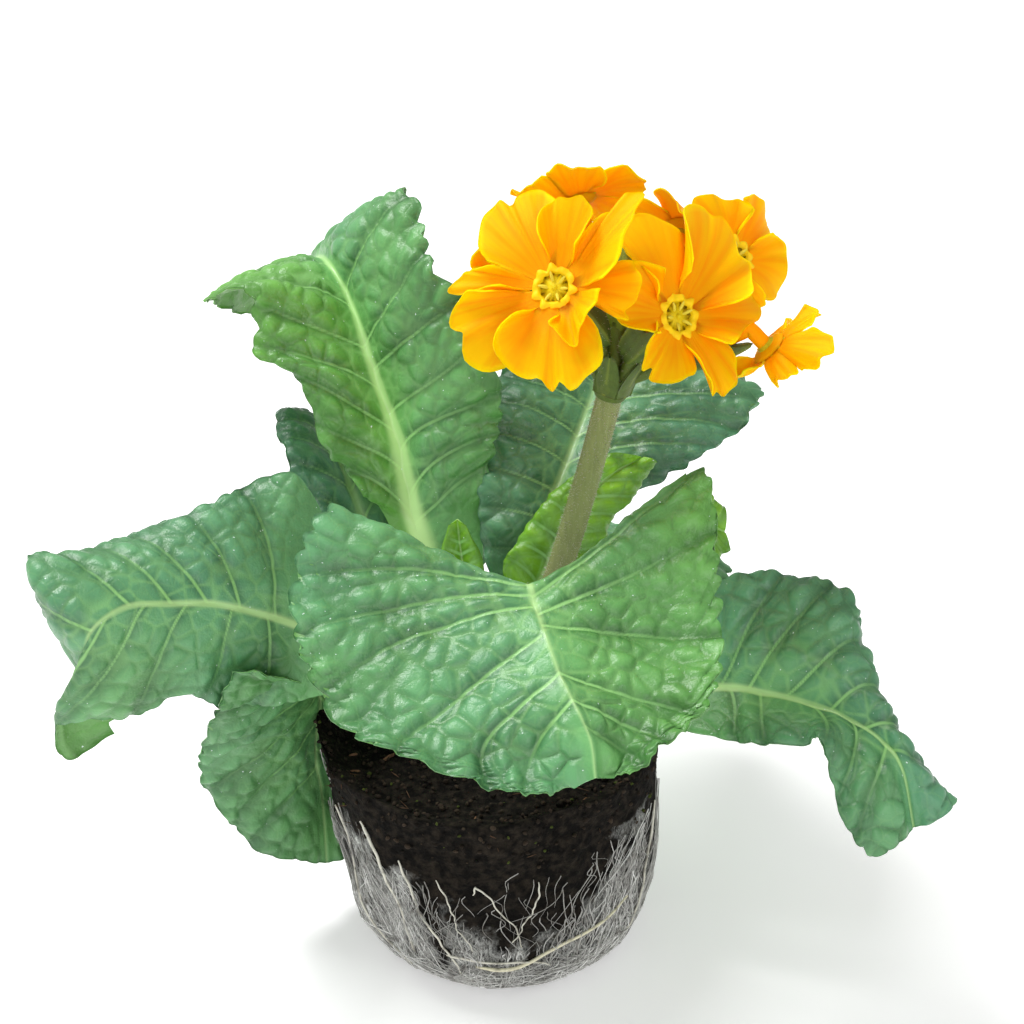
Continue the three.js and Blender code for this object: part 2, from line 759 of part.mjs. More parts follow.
// The calyx, a ribbed cup with five points, on its pedicel
function calyxSolid(flower) {
  const points = 2.2; // how far the calyx's five points reach past its mean edge
  const shares = [[0, 0.7], [1.6, 0.88], [6, 1], [CALYX_LENGTH - points, 0.96]];
  const cup = turned(
    shares.map(([z, share]) => [z, share * CALYX_RADIUS]),
    10,
    (angle) => 1 + 0.06 * Math.cos(5 * angle),
    (angle, i) => (i === 3 ? points * Math.cos(5 * angle) : 0),
  );
  const bore = turned([[1.4, 2], [CALYX_LENGTH + 3, 2.1]], 8);
  const { foot, along } = cupAxis(flower);
  const turn = new THREE.Quaternion().setFromUnitVectors(UP, along);
  const frame = new THREE.Matrix4().compose(foot, turn, UNIT);
  const way = radians(flower.root);
  const spread = 2.7; // the pedicels start this far from the scape's axis
  const start = HEAD.clone();
  start.add(new THREE.Vector3(spread * Math.cos(way), spread * Math.sin(way), -1));
  const middle = start.clone().lerp(foot, 0.5);
  const inside = foot.clone().addScaledVector(along, 1);
  const pedicel = tubeSolid(
    [start, middle, foot, inside].map((p) => p.toArray()),
    () => PEDICEL_RADIUS,
    6,
    3,
  );
  return placed(cup.subtract(bore), frame).add(pedicel);
}

// The bracts: a collar of small pointed blades round the top of the scape
function bractSolid() {
  const inner = HEAD_RADIUS + GAP;
  const outer = inner + 0.9;
  const collar = turned([[-4, outer - 0.3], [-1.4, outer]], 10);
  const bore = turned([[-5, inner], [3, inner]], 10);
  const blades = [20, 95, 165, 240, 310].map((angle) => {
    const grid = [0, 0.5, 1].map((s) =>
      [-1, 0, 1].map((t) => {
        const width = 1.9 * (1 - s ** 2) + 0.25;
        const reach = outer - 0.5 + 3.2 * s;
        const p = new THREE.Vector3(reach, width * t, -2.7 + 2 * s - 3 * s * s);
        return p.applyAxisAngle(UP, radians(angle));
      }),
    );
    return thicken(grid, () => 0.7);
  });
  const along = HEAD.clone().sub(vector(SCAPE.at(-2))).normalize();
  const turn = new THREE.Quaternion().setFromUnitVectors(UP, along);
  const frame = new THREE.Matrix4().compose(HEAD, turn, UNIT);
  return placed(union([collar, ...blades]).subtract(bore), frame);
}

// A flower bud on its own pedicel
const BUD = { at: [27, 1, 179], foot: [26, 0, 164] };

function budSolid() {
  const foot = vector(BUD.foot);
  const along = vector(BUD.at).sub(foot).normalize();
  const profile = [[0, 0.8], [1.5, 2.2], [5, 2.7], [9, 2.3], [12, 1.3], [13.5, 0.5]];
  const shape = turned(profile, 10, (angle) => 1 + 0.07 * Math.cos(5 * angle));
  const turn = new THREE.Quaternion().setFromUnitVectors(UP, along);
  const frame = new THREE.Matrix4().compose(foot, turn, UNIT);
  const start = HEAD.clone().add(new THREE.Vector3(0, 0, -1));
  const inside = foot.clone().addScaledVector(along, 2);
  const route = [start, foot, inside].map((p) => p.toArray());
  const pedicel = tubeSolid(route, () => PEDICEL_RADIUS, 6, 3);
  return placed(shape, frame).add(pedicel);
}

// The roots that mat the plug's side: one net of strands that cross and join
const STRANDS = 26;
const STRAND_RADIUS = 0.6;

function rootNet() {
  const random = randomFrom(11);
  const out = GAP + STRAND_RADIUS + 0.5;
  const strands = [];
  for (let k = 0; k < STRANDS; k++) {
    const start = (2 * Math.PI * (k + 0.5 * random())) / STRANDS;
    const drift = (k % 2 ? 1 : -1) * (0.25 + 0.4 * random());
    const top = PLUG_HEIGHT - 6 - 14 * random();
    const foot = 4 + 8 * random();
    const sway = 0.06 * random();
    const points = [];
    for (let i = 0; i <= 5; i++) {
      const s = i / 5;
      const angle = start + drift * s + sway * Math.sin(9 * s + k);
      points.push(plugPoint(angle, top + (foot - top) * s, out).toArray());
    }
    strands.push(tubeSolid(points, () => STRAND_RADIUS, 3, 5));
  }
  return biggest(union(strands));
}

// The whole plant
const plant = new THREE.Group();

function put(name, solid, material) {
  const mesh = new THREE.Mesh(toGeometry(solid), material);
  mesh.name = name;
  plant.add(mesh);
}

put("compost_plug", makePlug(), SOIL);
put("root_net", rootNet(), ROOT);
put("crown", crownSolid(0), CROWN);
for (const leaf of LEAVES) {
  const [rows, columns] = leaf.heading || leaf.young ? [7, 6] : [12, 6];
  const solid = leafSolid(leaf, rows, columns).subtract(crownSolid(GAP));
  put(leaf.name, biggest(solid), leaf.young ? YOUNG_LEAF : LEAF);
}
put("scape", biggest(scapeSolid(0).subtract(crownSolid(GAP))), STALK);
put("bracts", bractSolid(), SEPAL);
put("flower_bud", biggest(budSolid().subtract(scapeRoom())), SEPAL);
FLOWERS.forEach((flower, i) => {
  const corolla = corollaSolid(flower, 0);
  const room = FLOWERS.slice(0, i)
    .filter((other) => vector(other.at).distanceTo(vector(flower.at)) < CROWDED)
    .map((other) => corollaSolid(other, 2 * GAP));
  const clear = room.length ? biggest(corolla.subtract(union(room))) : corolla;
  put(flower.name + "_corolla", clear, COROLLA);
  put(flower.name + "_eye", placed(eyeSolid(), frameOf(flower)), EYE);
  put(flower.name + "_calyx", biggest(calyxSolid(flower).subtract(scapeRoom())), SEPAL);
});

export default plant;
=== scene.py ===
"""A polyanthus lifted from its pot, in its own frame: +Z up, -Y the front, metres.

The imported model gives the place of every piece. Each grown piece is rebuilt here with a finer
surface, in that place or close to it, and every surface gets a procedural material. The shapes are
worked out in millimetres and scaled when a mesh is made.
"""

import math

import bpy
import numpy as np
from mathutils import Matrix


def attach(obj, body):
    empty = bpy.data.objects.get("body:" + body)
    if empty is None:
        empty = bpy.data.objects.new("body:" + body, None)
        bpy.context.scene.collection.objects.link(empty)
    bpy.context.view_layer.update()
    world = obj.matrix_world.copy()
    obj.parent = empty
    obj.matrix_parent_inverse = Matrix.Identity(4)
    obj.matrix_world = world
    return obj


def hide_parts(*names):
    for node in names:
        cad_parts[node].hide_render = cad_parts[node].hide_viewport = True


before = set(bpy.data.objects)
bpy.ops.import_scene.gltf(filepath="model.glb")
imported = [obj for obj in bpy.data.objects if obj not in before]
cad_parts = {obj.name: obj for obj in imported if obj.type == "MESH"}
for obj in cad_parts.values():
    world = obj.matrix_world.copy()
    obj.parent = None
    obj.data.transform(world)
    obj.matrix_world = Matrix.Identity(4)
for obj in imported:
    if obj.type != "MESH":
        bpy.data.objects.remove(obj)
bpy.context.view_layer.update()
MM = 0.001
UP = np.array([0.0, 0.0, 1.0])

# The plug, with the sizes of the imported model: its height, how far its top leans along X, the radii
# of its side at some heights, and its soil
PLUG_HEIGHT = 58
PLUG_LEAN = -4
PLUG_HEIGHTS = [0, 1.6, 5, 11, 20, 32, 46, PLUG_HEIGHT]
PLUG_RADII = [27, 30.4, 34, 36.9, 38.2, 39.4, 41, 42.2]
SOIL_DIP = 5
RIM_WIDTH = 3.2

# The stalk and the flowers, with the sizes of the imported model
SCAPE = [(0.5, 0.5, 58), (6, 0.3, 79), (13.5, 0, 102), (20, -1, 128), (25, -2, 151)]
SCAPE_RADIUS = 3.0
HEAD = np.array(SCAPE[-1], float)
PETALS = 5
CALYX_LENGTH = 11
PEDICEL_RADIUS = 0.95

# Thicknesses and small parts that are the scene's own
BLADE_THICK = 0.5
PETAL_THICK = 0.36
BRACT_THICK = 0.5
BRACT_ANGLES = (20, 95, 165, 240, 310)
PEDICEL_START = 2.7
THROAT = 3.4
THROAT_DEPTH = 7.0
THROAT_TUBE_RADIUS = 1.75
ANTHERS = 6
ANTHER_RADIUS = 0.4
STIGMA_RADIUS = 0.7
HAIR_RADIUS = 0.045
BUD_FOOT = np.array([26.0, 0, 164])
BUD_TIP = np.array([27.0, 1, 179])

# How many there are of the small things, and how finely the pieces are cut
CRUMBS = 1400
STRANDS = 2300
PLUG_FOOT = 5  # below this height the plug's side is cut more finely
PLUG_SIDES = 240
FOOT_RINGS, SIDE_RINGS, TOP_RINGS = 12, 84, 60
STRAND_SIDES, STRAND_RINGS = 3, 12
THICK_SIDES, THICK_RINGS = 8, 60
SCAPE_SIDES, SCAPE_RINGS = 28, 150
STEM_SIDES, STEM_RINGS = 12, 20
TUBE_SIDES, TUBE_RINGS = 20, 30
PETAL_ROWS, PETAL_COLUMNS = 25, 53
EYE_SIDES, EYE_RINGS = 60, 24
ANTHER_SIDES, ANTHER_RINGS = 8, 12
CALYX_SIDES, CALYX_RINGS, CALYX_OUTER_RINGS = 50, 30, 18
COLLAR_SIDES, COLLAR_RINGS = 48, 16
BRACT_ROWS, BRACT_COLUMNS = 22, 11
BUD_SIDES, BUD_RINGS = 60, 40
SCAPE_HAIRS, CUP_HAIRS, STEM_HAIRS = 4200, 200, 150


# Small mathematics
def smooth(x):
    x = np.clip(x, 0, 1)
    return x * x * (3 - 2 * x)


def unit(v):
    return v / np.maximum(np.linalg.norm(v, axis=-1, keepdims=True), 1e-9)


def circle(sides):
    """Angles all the way round, one for each side."""
    return np.linspace(0, 2 * np.pi, sides, endpoint=False)


def spline(points, share):
    """The smooth curve through evenly spaced points, at each share of the way."""
    p = np.asarray(points, float)
    p = np.vstack([2 * p[0] - p[1], p, 2 * p[-1] - p[-2]])
    x = np.clip(share, 0, 1) * (len(p) - 3)
    i = np.minimum(x.astype(int), len(p) - 4)
    w = (x - i)[..., None]
    a, b, c, d = p[i], p[i + 1], p[i + 2], p[i + 3]
    m, n = (c - a) / 2, (d - b) / 2
    return b + w * (m + w * (3 * (c - b) - 2 * m - n + w * (2 * (b - c) + m + n)))


CHANCE = np.random.default_rng(7).random(4096)


def lattice(i, j, k, seed):
    return CHANCE[(i * 73856093 ^ j * 19349663 ^ k * 83492791 ^ seed * 2654435) & 4095]


def noise(points, size, seed):
    """Smooth random numbers from -1 to 1 at points, with lumps of one size."""
    q = np.asarray(points, float) / size
    i = np.floor(q).astype(int)
    f = smooth(q - i)
    total = 0
    for corner in range(8):
        a, b, c = corner & 1, corner >> 1 & 1, corner >> 2 & 1
        weight = np.where(a, f[..., 0], 1 - f[..., 0]) * np.where(b, f[..., 1], 1 - f[..., 1])
        weight = weight * np.where(c, f[..., 2], 1 - f[..., 2])
        total = total + weight * lattice(i[..., 0] + a, i[..., 1] + b, i[..., 2] + c, seed)
    return 2 * total - 1


def cells(points, size, seed):
    """How far a point lies inside its cell of an uneven net: 0 on the net, past 1 well inside."""
    q = points / size
    home = np.floor(q).astype(int)
    near = np.full(q.shape[:-1], 9.0)
    second = near.copy()
    for step in np.ndindex(3, 3, 3):
        cell = home + np.array(step) - 1
        jump = [lattice(cell[..., 0], cell[..., 1], cell[..., 2], seed + axis) for axis in range(3)]
        distance = np.linalg.norm(cell + np.stack(jump, -1) - q, axis=-1)
        second = np.minimum(second, np.maximum(near, distance))
        near = np.minimum(near, distance)
    return (second - near) / 0.45


# Meshes
class Piece:
    """Points in millimetres, faces and point values, gathered for one mesh."""

    def __init__(self):
        self.points, self.faces, self.looks, self.values, self.count = [], [], [], [], 0

    def add(self, points, faces, look=0, **values):
        points = np.asarray(points, float).reshape(-1, 3)
        self.points.append(points)
        for face in faces:
            self.faces.append(np.asarray(face) + self.count)
            self.looks.append(np.full(len(face), look))
        flat = {k: np.broadcast_to(np.asarray(v, float).ravel(), len(points)) for k, v in values.items()}
        self.values.append(flat)
        self.count += len(points)

    def make(self, name, materials):
        mesh = bpy.data.meshes.new(name)
        mesh.vertices.add(self.count)
        mesh.vertices.foreach_set("co", (np.concatenate(self.points) * MM).ravel())
        corners = np.concatenate([face.ravel() for face in self.faces])
        sizes = np.concatenate([np.full(len(face), face.shape[1]) for face in self.faces])
        mesh.loops.add(len(corners))
        mesh.loops.foreach_set("vertex_index", corners)
        mesh.polygons.add(len(sizes))
        mesh.polygons.foreach_set("loop_start", np.cumsum(sizes) - sizes)
        mesh.polygons.foreach_set("material_index", np.concatenate(self.looks))
        mesh.polygons.foreach_set("use_smooth", np.ones(len(sizes), bool))
        for key in sorted({key for values in self.values for key in values}):
            parts = [v.get(key, np.zeros(len(p))) for v, p in zip(self.values, self.points)]
            attribute = mesh.attributes.new(key, "FLOAT", "POINT")
            attribute.data.foreach_set("value", np.concatenate(parts))
        mesh.update()
        mesh.validate()
        piece = bpy.data.objects.new(name, mesh)
        bpy.context.scene.collection.objects.link(piece)
        for material in materials:
            mesh.materials.append(material)
        return piece


def stand_for(shape, name, materials, slot, *nodes):
    """Make a finished piece, which rides with the plant and takes the place of its nodes."""
    piece = shape.make(name, materials)
    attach(piece, "root")
    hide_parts(*nodes)


def grid_faces(rows, columns, closed=False):
    i = np.arange(rows * columns).reshape(rows, columns)
    if closed:
        i = np.hstack([i, i[:, :1]])
    return np.stack([i[:-1, :-1], i[1:, :-1], i[1:, 1:], i[:-1, 1:]], -1).reshape(-1, 4)


def border(rows, columns):
    """The points on the edge of a grid, once round."""
    i = np.arange(rows * columns).reshape(rows, columns)
    return np.concatenate([i[:-1, 0], i[-1, :-1], i[:0:-1, -1], i[0, :0:-1]])


def sheet_faces(rows, columns, coarse):
    """Faces of a thin body: an upper grid, a lower grid with every coarse-th point, and the rim."""
    upper = grid_faces(rows, columns)
    low_rows, low_columns = (rows - 1) // coarse + 1, (columns - 1) // coarse + 1
    start = rows * columns
    lower = grid_faces(low_rows, low_columns)[:, ::-1] + start
    a = border(rows, columns)
    b = border(low_rows, low_columns) + start
    c = np.roll(b, -1)
    if coarse == 1:
        return [upper, lower, np.stack([a, b, c, np.roll(a, -1)], -1)[:, ::-1]]
    first, middle, last = a[::2], a[1::2], np.roll(a, -2)[::2]
    rim = [[first, b, middle], [middle, b, c], [middle, c, last]]
    return [upper, lower, np.concatenate([np.stack(face, -1)[:, ::-1] for face in rim])]


def add_sheet(piece, upper, lower, coarse, low=None, **values):
    """A thin closed body from its two faces. low: values that only the lower face has."""
    rows, columns = upper.shape[:2]
    thin = (slice(None, None, coarse), slice(None, None, coarse))
    lower = lower[thin]
    points = np.concatenate([upper.reshape(-1, 3), lower.reshape(-1, 3)])
    both = {}
    for key, value in values.items():
        value = np.broadcast_to(value, (rows, columns))
        both[key] = np.concatenate([value.ravel(), value[thin].ravel()])
    for key, value in (low or {}).items():
        both[key] = np.concatenate([np.zeros(rows * columns), np.full(lower[..., 0].size, value)])
    faces = sheet_faces(rows, columns, coarse)
    a, b = upper[1, 1] - upper[0, 0], upper[0, 1] - upper[1, 0]
    if np.dot(np.cross(a, b), upper[0, 0] - lower[0, 0]) > 0:
        faces = [face[:, ::-1] for face in faces]
    piece.add(points, faces, **both)


def normals(grid):
    return unit(np.cross(np.gradient(grid, axis=1), np.gradient(grid, axis=0)))


def thicken(piece, grid, thickness, coarse, **values):
    half = normals(grid) * (thickness / 2)
    add_sheet(piece, grid + half, grid - half, coarse, **values)


def rings_of(path, radius, sides):
    """Rings round a path. radius: one number, one for each point, or one for each point of a ring."""
    path = np.asarray(path, float)
    along = unit(np.gradient(path, axis=0))
    across = unit(np.cross(along, UP))
    if np.abs(along @ UP).max() > 0.97:
        across = unit(np.cross(along, np.array([0.0, 1.0, 0.2])))
    third = np.cross(along, across)
    angle = circle(sides)
    radius = np.asarray(radius, float)
    if radius.ndim < 2:
        radius = np.broadcast_to(radius, len(path))[:, None]
    ring = across[:, None] * np.cos(angle)[None, :, None] + third[:, None] * np.sin(angle)[None, :, None]
    return path[:, None] + ring * np.broadcast_to(radius, (len(path), sides))[..., None]


def add_tube(piece, rings, look=0, **values):
    """A closed tube through rings, with a point in the middle of each end."""
    count, sides = rings.shape[:2]
    points = np.concatenate([rings.reshape(-1, 3), rings[:1].mean(1), rings[-1:].mean(1)])
    i = np.arange(sides)
    j = (i + 1) % sides
    foot, tip = np.full(sides, count * sides), np.full(sides, count * sides + 1)
    last = (count - 1) * sides
    ends = np.concatenate([np.stack([foot, j, i], -1), np.stack([tip, last + i, last + j], -1)])
    full = {}
    for key, value in values.items():
        value = np.broadcast_to(value, (count, sides))
        full[key] = np.concatenate([value.ravel(), value[:1].mean(1), value[-1:].mean(1)])
    piece.add(points, [grid_faces(count, sides, closed=True), ends], look, **full)


def frame_axes(along, at):
    """Right, up and out of a thing that looks along one way."""
    out = unit(np.asarray(along, float))
    right = unit(np.cross(UP, out)) if abs(out[2]) < 0.999 else np.array([1.0, 0, 0])
    return np.array([right, np.cross(out, right), out]), np.asarray(at, float)


def placed(points, where):
    axes, at = where
    return at + points @ axes


# Materials
class Look:
    """A material, and short ways to add and join its nodes."""

    def __init__(self, name, **sockets):
        self.material = bpy.data.materials.new(name)
        self.material.use_nodes = True
        self.tree = self.material.node_tree
        self.shader = self.tree.nodes["Principled BSDF"]
        for key, value in sockets.items():
            self.shader.inputs[key.replace("_", " ")].default_value = value
        self.place = self.node("TexCoord").outputs["Object"]

    def node(self, kind, values=None, **settings):
        node = self.tree.nodes.new("ShaderNode" + kind)
        for key, value in settings.items():
            setattr(node, key, value)
        for key, value in (values or {}).items():
            if isinstance(value, bpy.types.NodeSocket):
                self.tree.links.new(value, node.inputs[key])
            else:
                node.inputs[key].default_value = value
        return node

    def value(self, name):
        return self.node("Attribute", attribute_name=name).outputs["Fac"]

    def noise(self, size, detail=3.0, at=None, rough=0.55):
        values = {"Scale": 1 / (size * MM), "Detail": detail, "Roughness": rough}
        values["Vector"] = at or self.place
        return self.node("TexNoise", values).outputs["Fac"]

    def stretched(self, x, y, z):
        """The place, squeezed along each axis by a share."""
        return self.node("Mapping", {"Vector": self.place, "Scale": (x, y, z)}).outputs["Vector"]

    def range(self, value, low, high, start=0.0, end=1.0):
        values = {"Value": value, "From Min": low, "From Max": high, "To Min": start, "To Max": end}
        return self.node("MapRange", values).outputs["Result"]

    def math(self, operation, a, b=0.0):
        return self.node("Math", {0: a, 1: b}, operation=operation).outputs[0]

    def mix(self, share, a, b):
        return self.node("Mix", {0: share, 6: tint(a), 7: tint(b)}, data_type="RGBA").outputs[2]

    def colour(self, colour):
        self.tree.links.new(colour, self.shader.inputs["Base Color"])

    def rough(self, value):
        self.tree.links.new(value, self.shader.inputs["Roughness"])

    def bump(self, height, distance, strength=1.0):
        values = {"Height": height, "Distance": distance * MM, "Strength": strength}
        bump = self.node("Bump", values)
        self.tree.links.new(bump.outputs["Normal"], self.shader.inputs["Normal"])


def tint(colour):
    return colour if isinstance(colour, bpy.types.NodeSocket) else (*colour, 1.0)


# Markings of a leaf: the size of the small fields between its finest veins, and for each kind of
# pale line, the value with the distance to it, where it starts and ends to fade, and its strength
AREOLE = 3.8
VEIN_LINES = (("main", 0.2, 0.55, 0.9), ("branch", 0.15, 0.42, 0.4), ("cell", 0.05, 0.4, 0.42))


def leaf_look():
    """Green blades: bluer or yellower, with painted shade in the furrows and on shaded leaves, pale veins
    and painted white glints.
    """
    look = Look("leaf_blade")
    bend = look.node("TexNoise", {"Vector": look.place, "Scale": 1 / (6 * MM)}).outputs["Color"]
    both = {0: 0.0022, 6: look.place, 7: bend}
    bent = look.node("Mix", both, data_type="RGBA", blend_type="ADD").outputs[2]
    areoles = {"Vector": bent, "Scale": 1 / (AREOLE * MM)}
    inside = look.node("TexVoronoi", areoles, feature="DISTANCE_TO_EDGE").outputs["Distance"]
    areole = look.range(inside, 0.0, 0.3)
    blade = look.math("SUBTRACT", 1.0, look.value("rib"))
    patch = look.range(look.noise(16, 2), 0.35, 0.65, -0.15, 0.2)
    deep = look.mix(look.value("warm"), (0.014, 0.08, 0.032), (0.025, 0.12, 0.006))
    light = look.mix(look.value("warm"), (0.125, 0.36, 0.19), (0.17, 0.46, 0.05))
    deep = look.mix(look.value("young"), deep, (0.05, 0.18, 0.003))
    light = look.mix(look.value("young"), light, (0.24, 0.55, 0.02))
    # Painted shade: the green darkens in the furrows along the veins (relief) and along the fine net,
    # where shade falls; patch adds random tone
    relief = look.math("ADD", look.value("relief"), look.range(areole, 0, 1, -0.07, 0.03))
    green = look.mix(look.math("ADD", relief, patch), deep, light)
    fade = look.value("fade")
    line = look.range(inside, 0.0, 0.09, 0.12, 0)
    for name, near, far, strength in VEIN_LINES:
        drawn = look.math("MULTIPLY", look.range(look.value(name), near, far, strength, 0), fade)
        line = look.math("MAXIMUM", line, drawn)
    green = look.mix(line, green, (0.3, 0.62, 0.2))
    green = look.mix(look.math("MULTIPLY", look.value("under"), 0.55), green, (0.17, 0.4, 0.08))
    green = look.mix(look.value("rib"), green, (0.52, 0.8, 0.32))
    # Painted glints: tiny pale specks that stand in for small highlights of light on the blade
    painted_glint = look.range(look.noise(0.8, 1), 0.77, 0.8)
    green = look.mix(painted_glint, green, (0.7, 0.85, 0.78))
    # Painted shade: the whole leaf is darkened towards near-black green by how far it stands in shade
    look.colour(look.mix(look.value("dark"), green, (0.0, 0.01, 0.008)))
    look.rough(look.range(look.noise(2.5, 3), 0.3, 0.7, 0.3, 0.46))
    fine = look.math("ADD", look.noise(0.5, 3), look.noise(1.5, 3))
    height = look.math("ADD", fine, look.math("MULTIPLY", areole, 0.8))
    look.bump(look.math("MULTIPLY", height, blade), 0.3, 0.4)
    return look.material


def petal_look():
    """Golden orange petals, deeper at the throat, with fine streaks and yellow edges, and a faint painted
    orange glow.
    """
    soft = {"Subsurface_Weight": 0.7, "Subsurface_Scale": 0.003, "Subsurface_Radius": (1.0, 0.5, 0.02)}
    # Painted light: the petals glow faintly orange of themselves, standing in for light that shines
    # through them
    glow = {"Emission_Color": (1.0, 0.36, 0.0, 1.0), "Emission_Strength": 0.06}
    look = Look("petal", Roughness=0.6, Specular_IOR_Level=0.06, **soft, **glow)
    across = {"X": look.value("across"), "Y": look.value("reach"), "Z": look.value("petal")}
    streak_at = look.node("CombineXYZ", across).outputs[0]
    streak = look.node("TexNoise", {"Vector": streak_at, "Scale": 1.5, "Detail": 3.0}).outputs["Fac"]
    blade = look.mix(look.value("edge"), (1.0, 0.3, 0.0), (1.0, 0.5, 0.0))
    strong = look.range(streak, 0.42, 0.66, 0, 0.5)
    blade = look.mix(strong, blade, (0.96, 0.2, 0.0))
    blade = look.mix(look.range(look.value("edge"), 0.78, 1.0), blade, (1.0, 0.7, 0.0))
    look.colour(blade)
    look.bump(streak, 0.15, 0.5)
    return look.material


def eye_look():
    """The yellow ring round the throat, greener and darker inside."""
    look = Look("eye", Roughness=0.55, Specular_IOR_Level=0.2)
    yellow = look.mix(look.value("depth"), (0.92, 0.6, 0.0), (0.5, 0.45, 0.005))
    look.colour(look.mix(look.range(look.noise(0.5), 0.4, 0.7, 0, 0.3), yellow, (0.95, 0.75, 0.02)))
    look.bump(look.noise(0.3, 2), 0.15, 0.5)
    return look.material


def anther_look():
    """Uneven golden yellow."""
    look = Look("anther", Roughness=0.6)
    look.colour(look.mix(look.noise(0.4), (0.62, 0.5, 0.01), (0.86, 0.72, 0.05)))
    look.bump(look.noise(0.2, 2), 0.1)
    return look.material


def cup_look():
    """Calyces, bracts and bud: olive green with paler ribs and edges."""
    look = Look("sepal", Roughness=0.6)
    green = look.mix(look.noise(2, 3), (0.035, 0.06, 0.004), (0.1, 0.17, 0.015))
    green = look.mix(look.value("rib"), green, (0.22, 0.28, 0.03))
    green = look.mix(look.math("MULTIPLY", look.value("young"), 0.7), green, (0.28, 0.42, 0.03))
    look.colour(green)
    look.bump(look.noise(0.4, 3), 0.15)
    return look.material


def stalk_look():
    """The stalk: olive grey at the top, purplish brown at the foot, finely streaked along."""
    look = Look("stalk", Roughness=0.62)
    streak = look.noise(0.8, 4, look.stretched(1, 1, 0.12))
    top = look.mix(streak, (0.14, 0.17, 0.045), (0.28, 0.33, 0.11))
    foot = look.mix(streak, (0.13, 0.11, 0.05), (0.27, 0.25, 0.12))
    look.colour(look.mix(look.value("height"), foot, top))
    look.bump(streak, 0.3)
    return look.material


def hair_look():
    """Hairs from straw to near white."""
    look = Look("hair", Roughness=0.5)
    look.colour(look.mix(look.noise(3), (0.55, 0.52, 0.42), (0.8, 0.78, 0.7)))
    return look.material


def soil_look():
    """Near-black peat, matted in places by a web of fine pale root hairs."""
    look = Look("soil", Roughness=0.95, Specular_IOR_Level=0.1)
    lumps = look.range(look.noise(2.2, 6), 0.42, 0.7)
    peat = look.mix(lumps, (0.0035, 0.003, 0.0025), (0.024, 0.019, 0.014))
    web = look.value("shade")
    for size, squeeze in ((6, 0.35), (4, 0.6), (2.6, 0.25)):
        height = look.noise(size, 4, look.stretched(1, 1, squeeze), 0.6)
        line = look.range(look.math("ABSOLUTE", look.math("SUBTRACT", height, 0.5)), 0.0, 0.02, 1, 0)
        web = look.math("MAXIMUM", web, line)
    felt = look.range(look.noise(0.9, 5, look.stretched(1, 1, 0.4), 0.7), 0.38, 0.66, 0, 0.85)
    cover = look.range(look.math("ADD", look.noise(6, 4), look.value("mat")), 0.75, 1.35)
    film = look.math("MULTIPLY", cover, look.math("MAXIMUM", web, felt))
    look.colour(look.mix(film, peat, (0.9, 0.91, 0.87)))
    look.bump(look.math("ADD", look.noise(0.8, 5), look.math("MULTIPLY", film, 0.6)), 0.8)
    return look.material


def crumb_look():
    """Loose crumbs of peat, brown bark and moss, each piece with its own shade."""
    look = Look("crumb", Roughness=0.92, Specular_IOR_Level=0.15)
    peat = look.mix(look.value("shade"), (0.004, 0.0035, 0.003), (0.045, 0.032, 0.022))
    bark = look.mix(look.noise(0.9, 4, look.stretched(1, 1, 0.3)), (0.07, 0.03, 0.015), (0.26, 0.15, 0.09))
    moss = look.mix(look.noise(0.8), (0.02, 0.03, 0.006), (0.08, 0.1, 0.02))
    look.colour(look.mix(look.value("moss"), look.mix(look.value("bark"), peat, bark), moss))
    look.bump(look.noise(0.5, 4), 0.5)
    return look.material


def root_look():
    """Roots from grey to cream, yellower where thick, stained by peat in places."""
    look = Look("root", Roughness=0.6)
    pale = look.mix(look.value("shade"), (0.2, 0.19, 0.17), (0.95, 0.95, 0.92))
    pale = look.mix(look.value("yellow"), pale, (0.72, 0.68, 0.48))
    stain = look.range(look.noise(3, 4), 0.5, 0.7, 0, 0.7)
    look.colour(look.mix(stain, pale, (0.09, 0.075, 0.055)))
    look.bump(look.noise(0.4, 3), 0.15)
    return look.material


def crown_look():
    """Yellow-green flesh, streaked upright and brown in patches."""
    look = Look("crown", Roughness=0.6)
    flesh = look.mix(look.noise(2, 4, look.stretched(1, 1, 0.3)), (0.2, 0.2, 0.05), (0.5, 0.52, 0.2))
    look.colour(look.mix(look.range(look.noise(4, 4), 0.5, 0.7), flesh, (0.14, 0.07, 0.04)))
    look.bump(look.noise(1.2, 4), 0.5)
    return look.material


def floor_look():
    """White paper that glows a little, so that the shadow on it stays pale."""
    glow = {"Emission_Color": (1.0, 1.0, 1.0, 1.0), "Emission_Strength": 0.3}
    return Look("floor", Roughness=0.9, Base_Color=(0.9, 0.9, 0.9, 1.0), **glow).material


LEAF = leaf_look()
PETAL = petal_look()
EYE = eye_look()
ANTHER = anther_look()
SEPAL = cup_look()
STALK = stalk_look()
HAIR = hair_look()
SOIL = soil_look()
CRUMB = crumb_look()
ROOT = root_look()
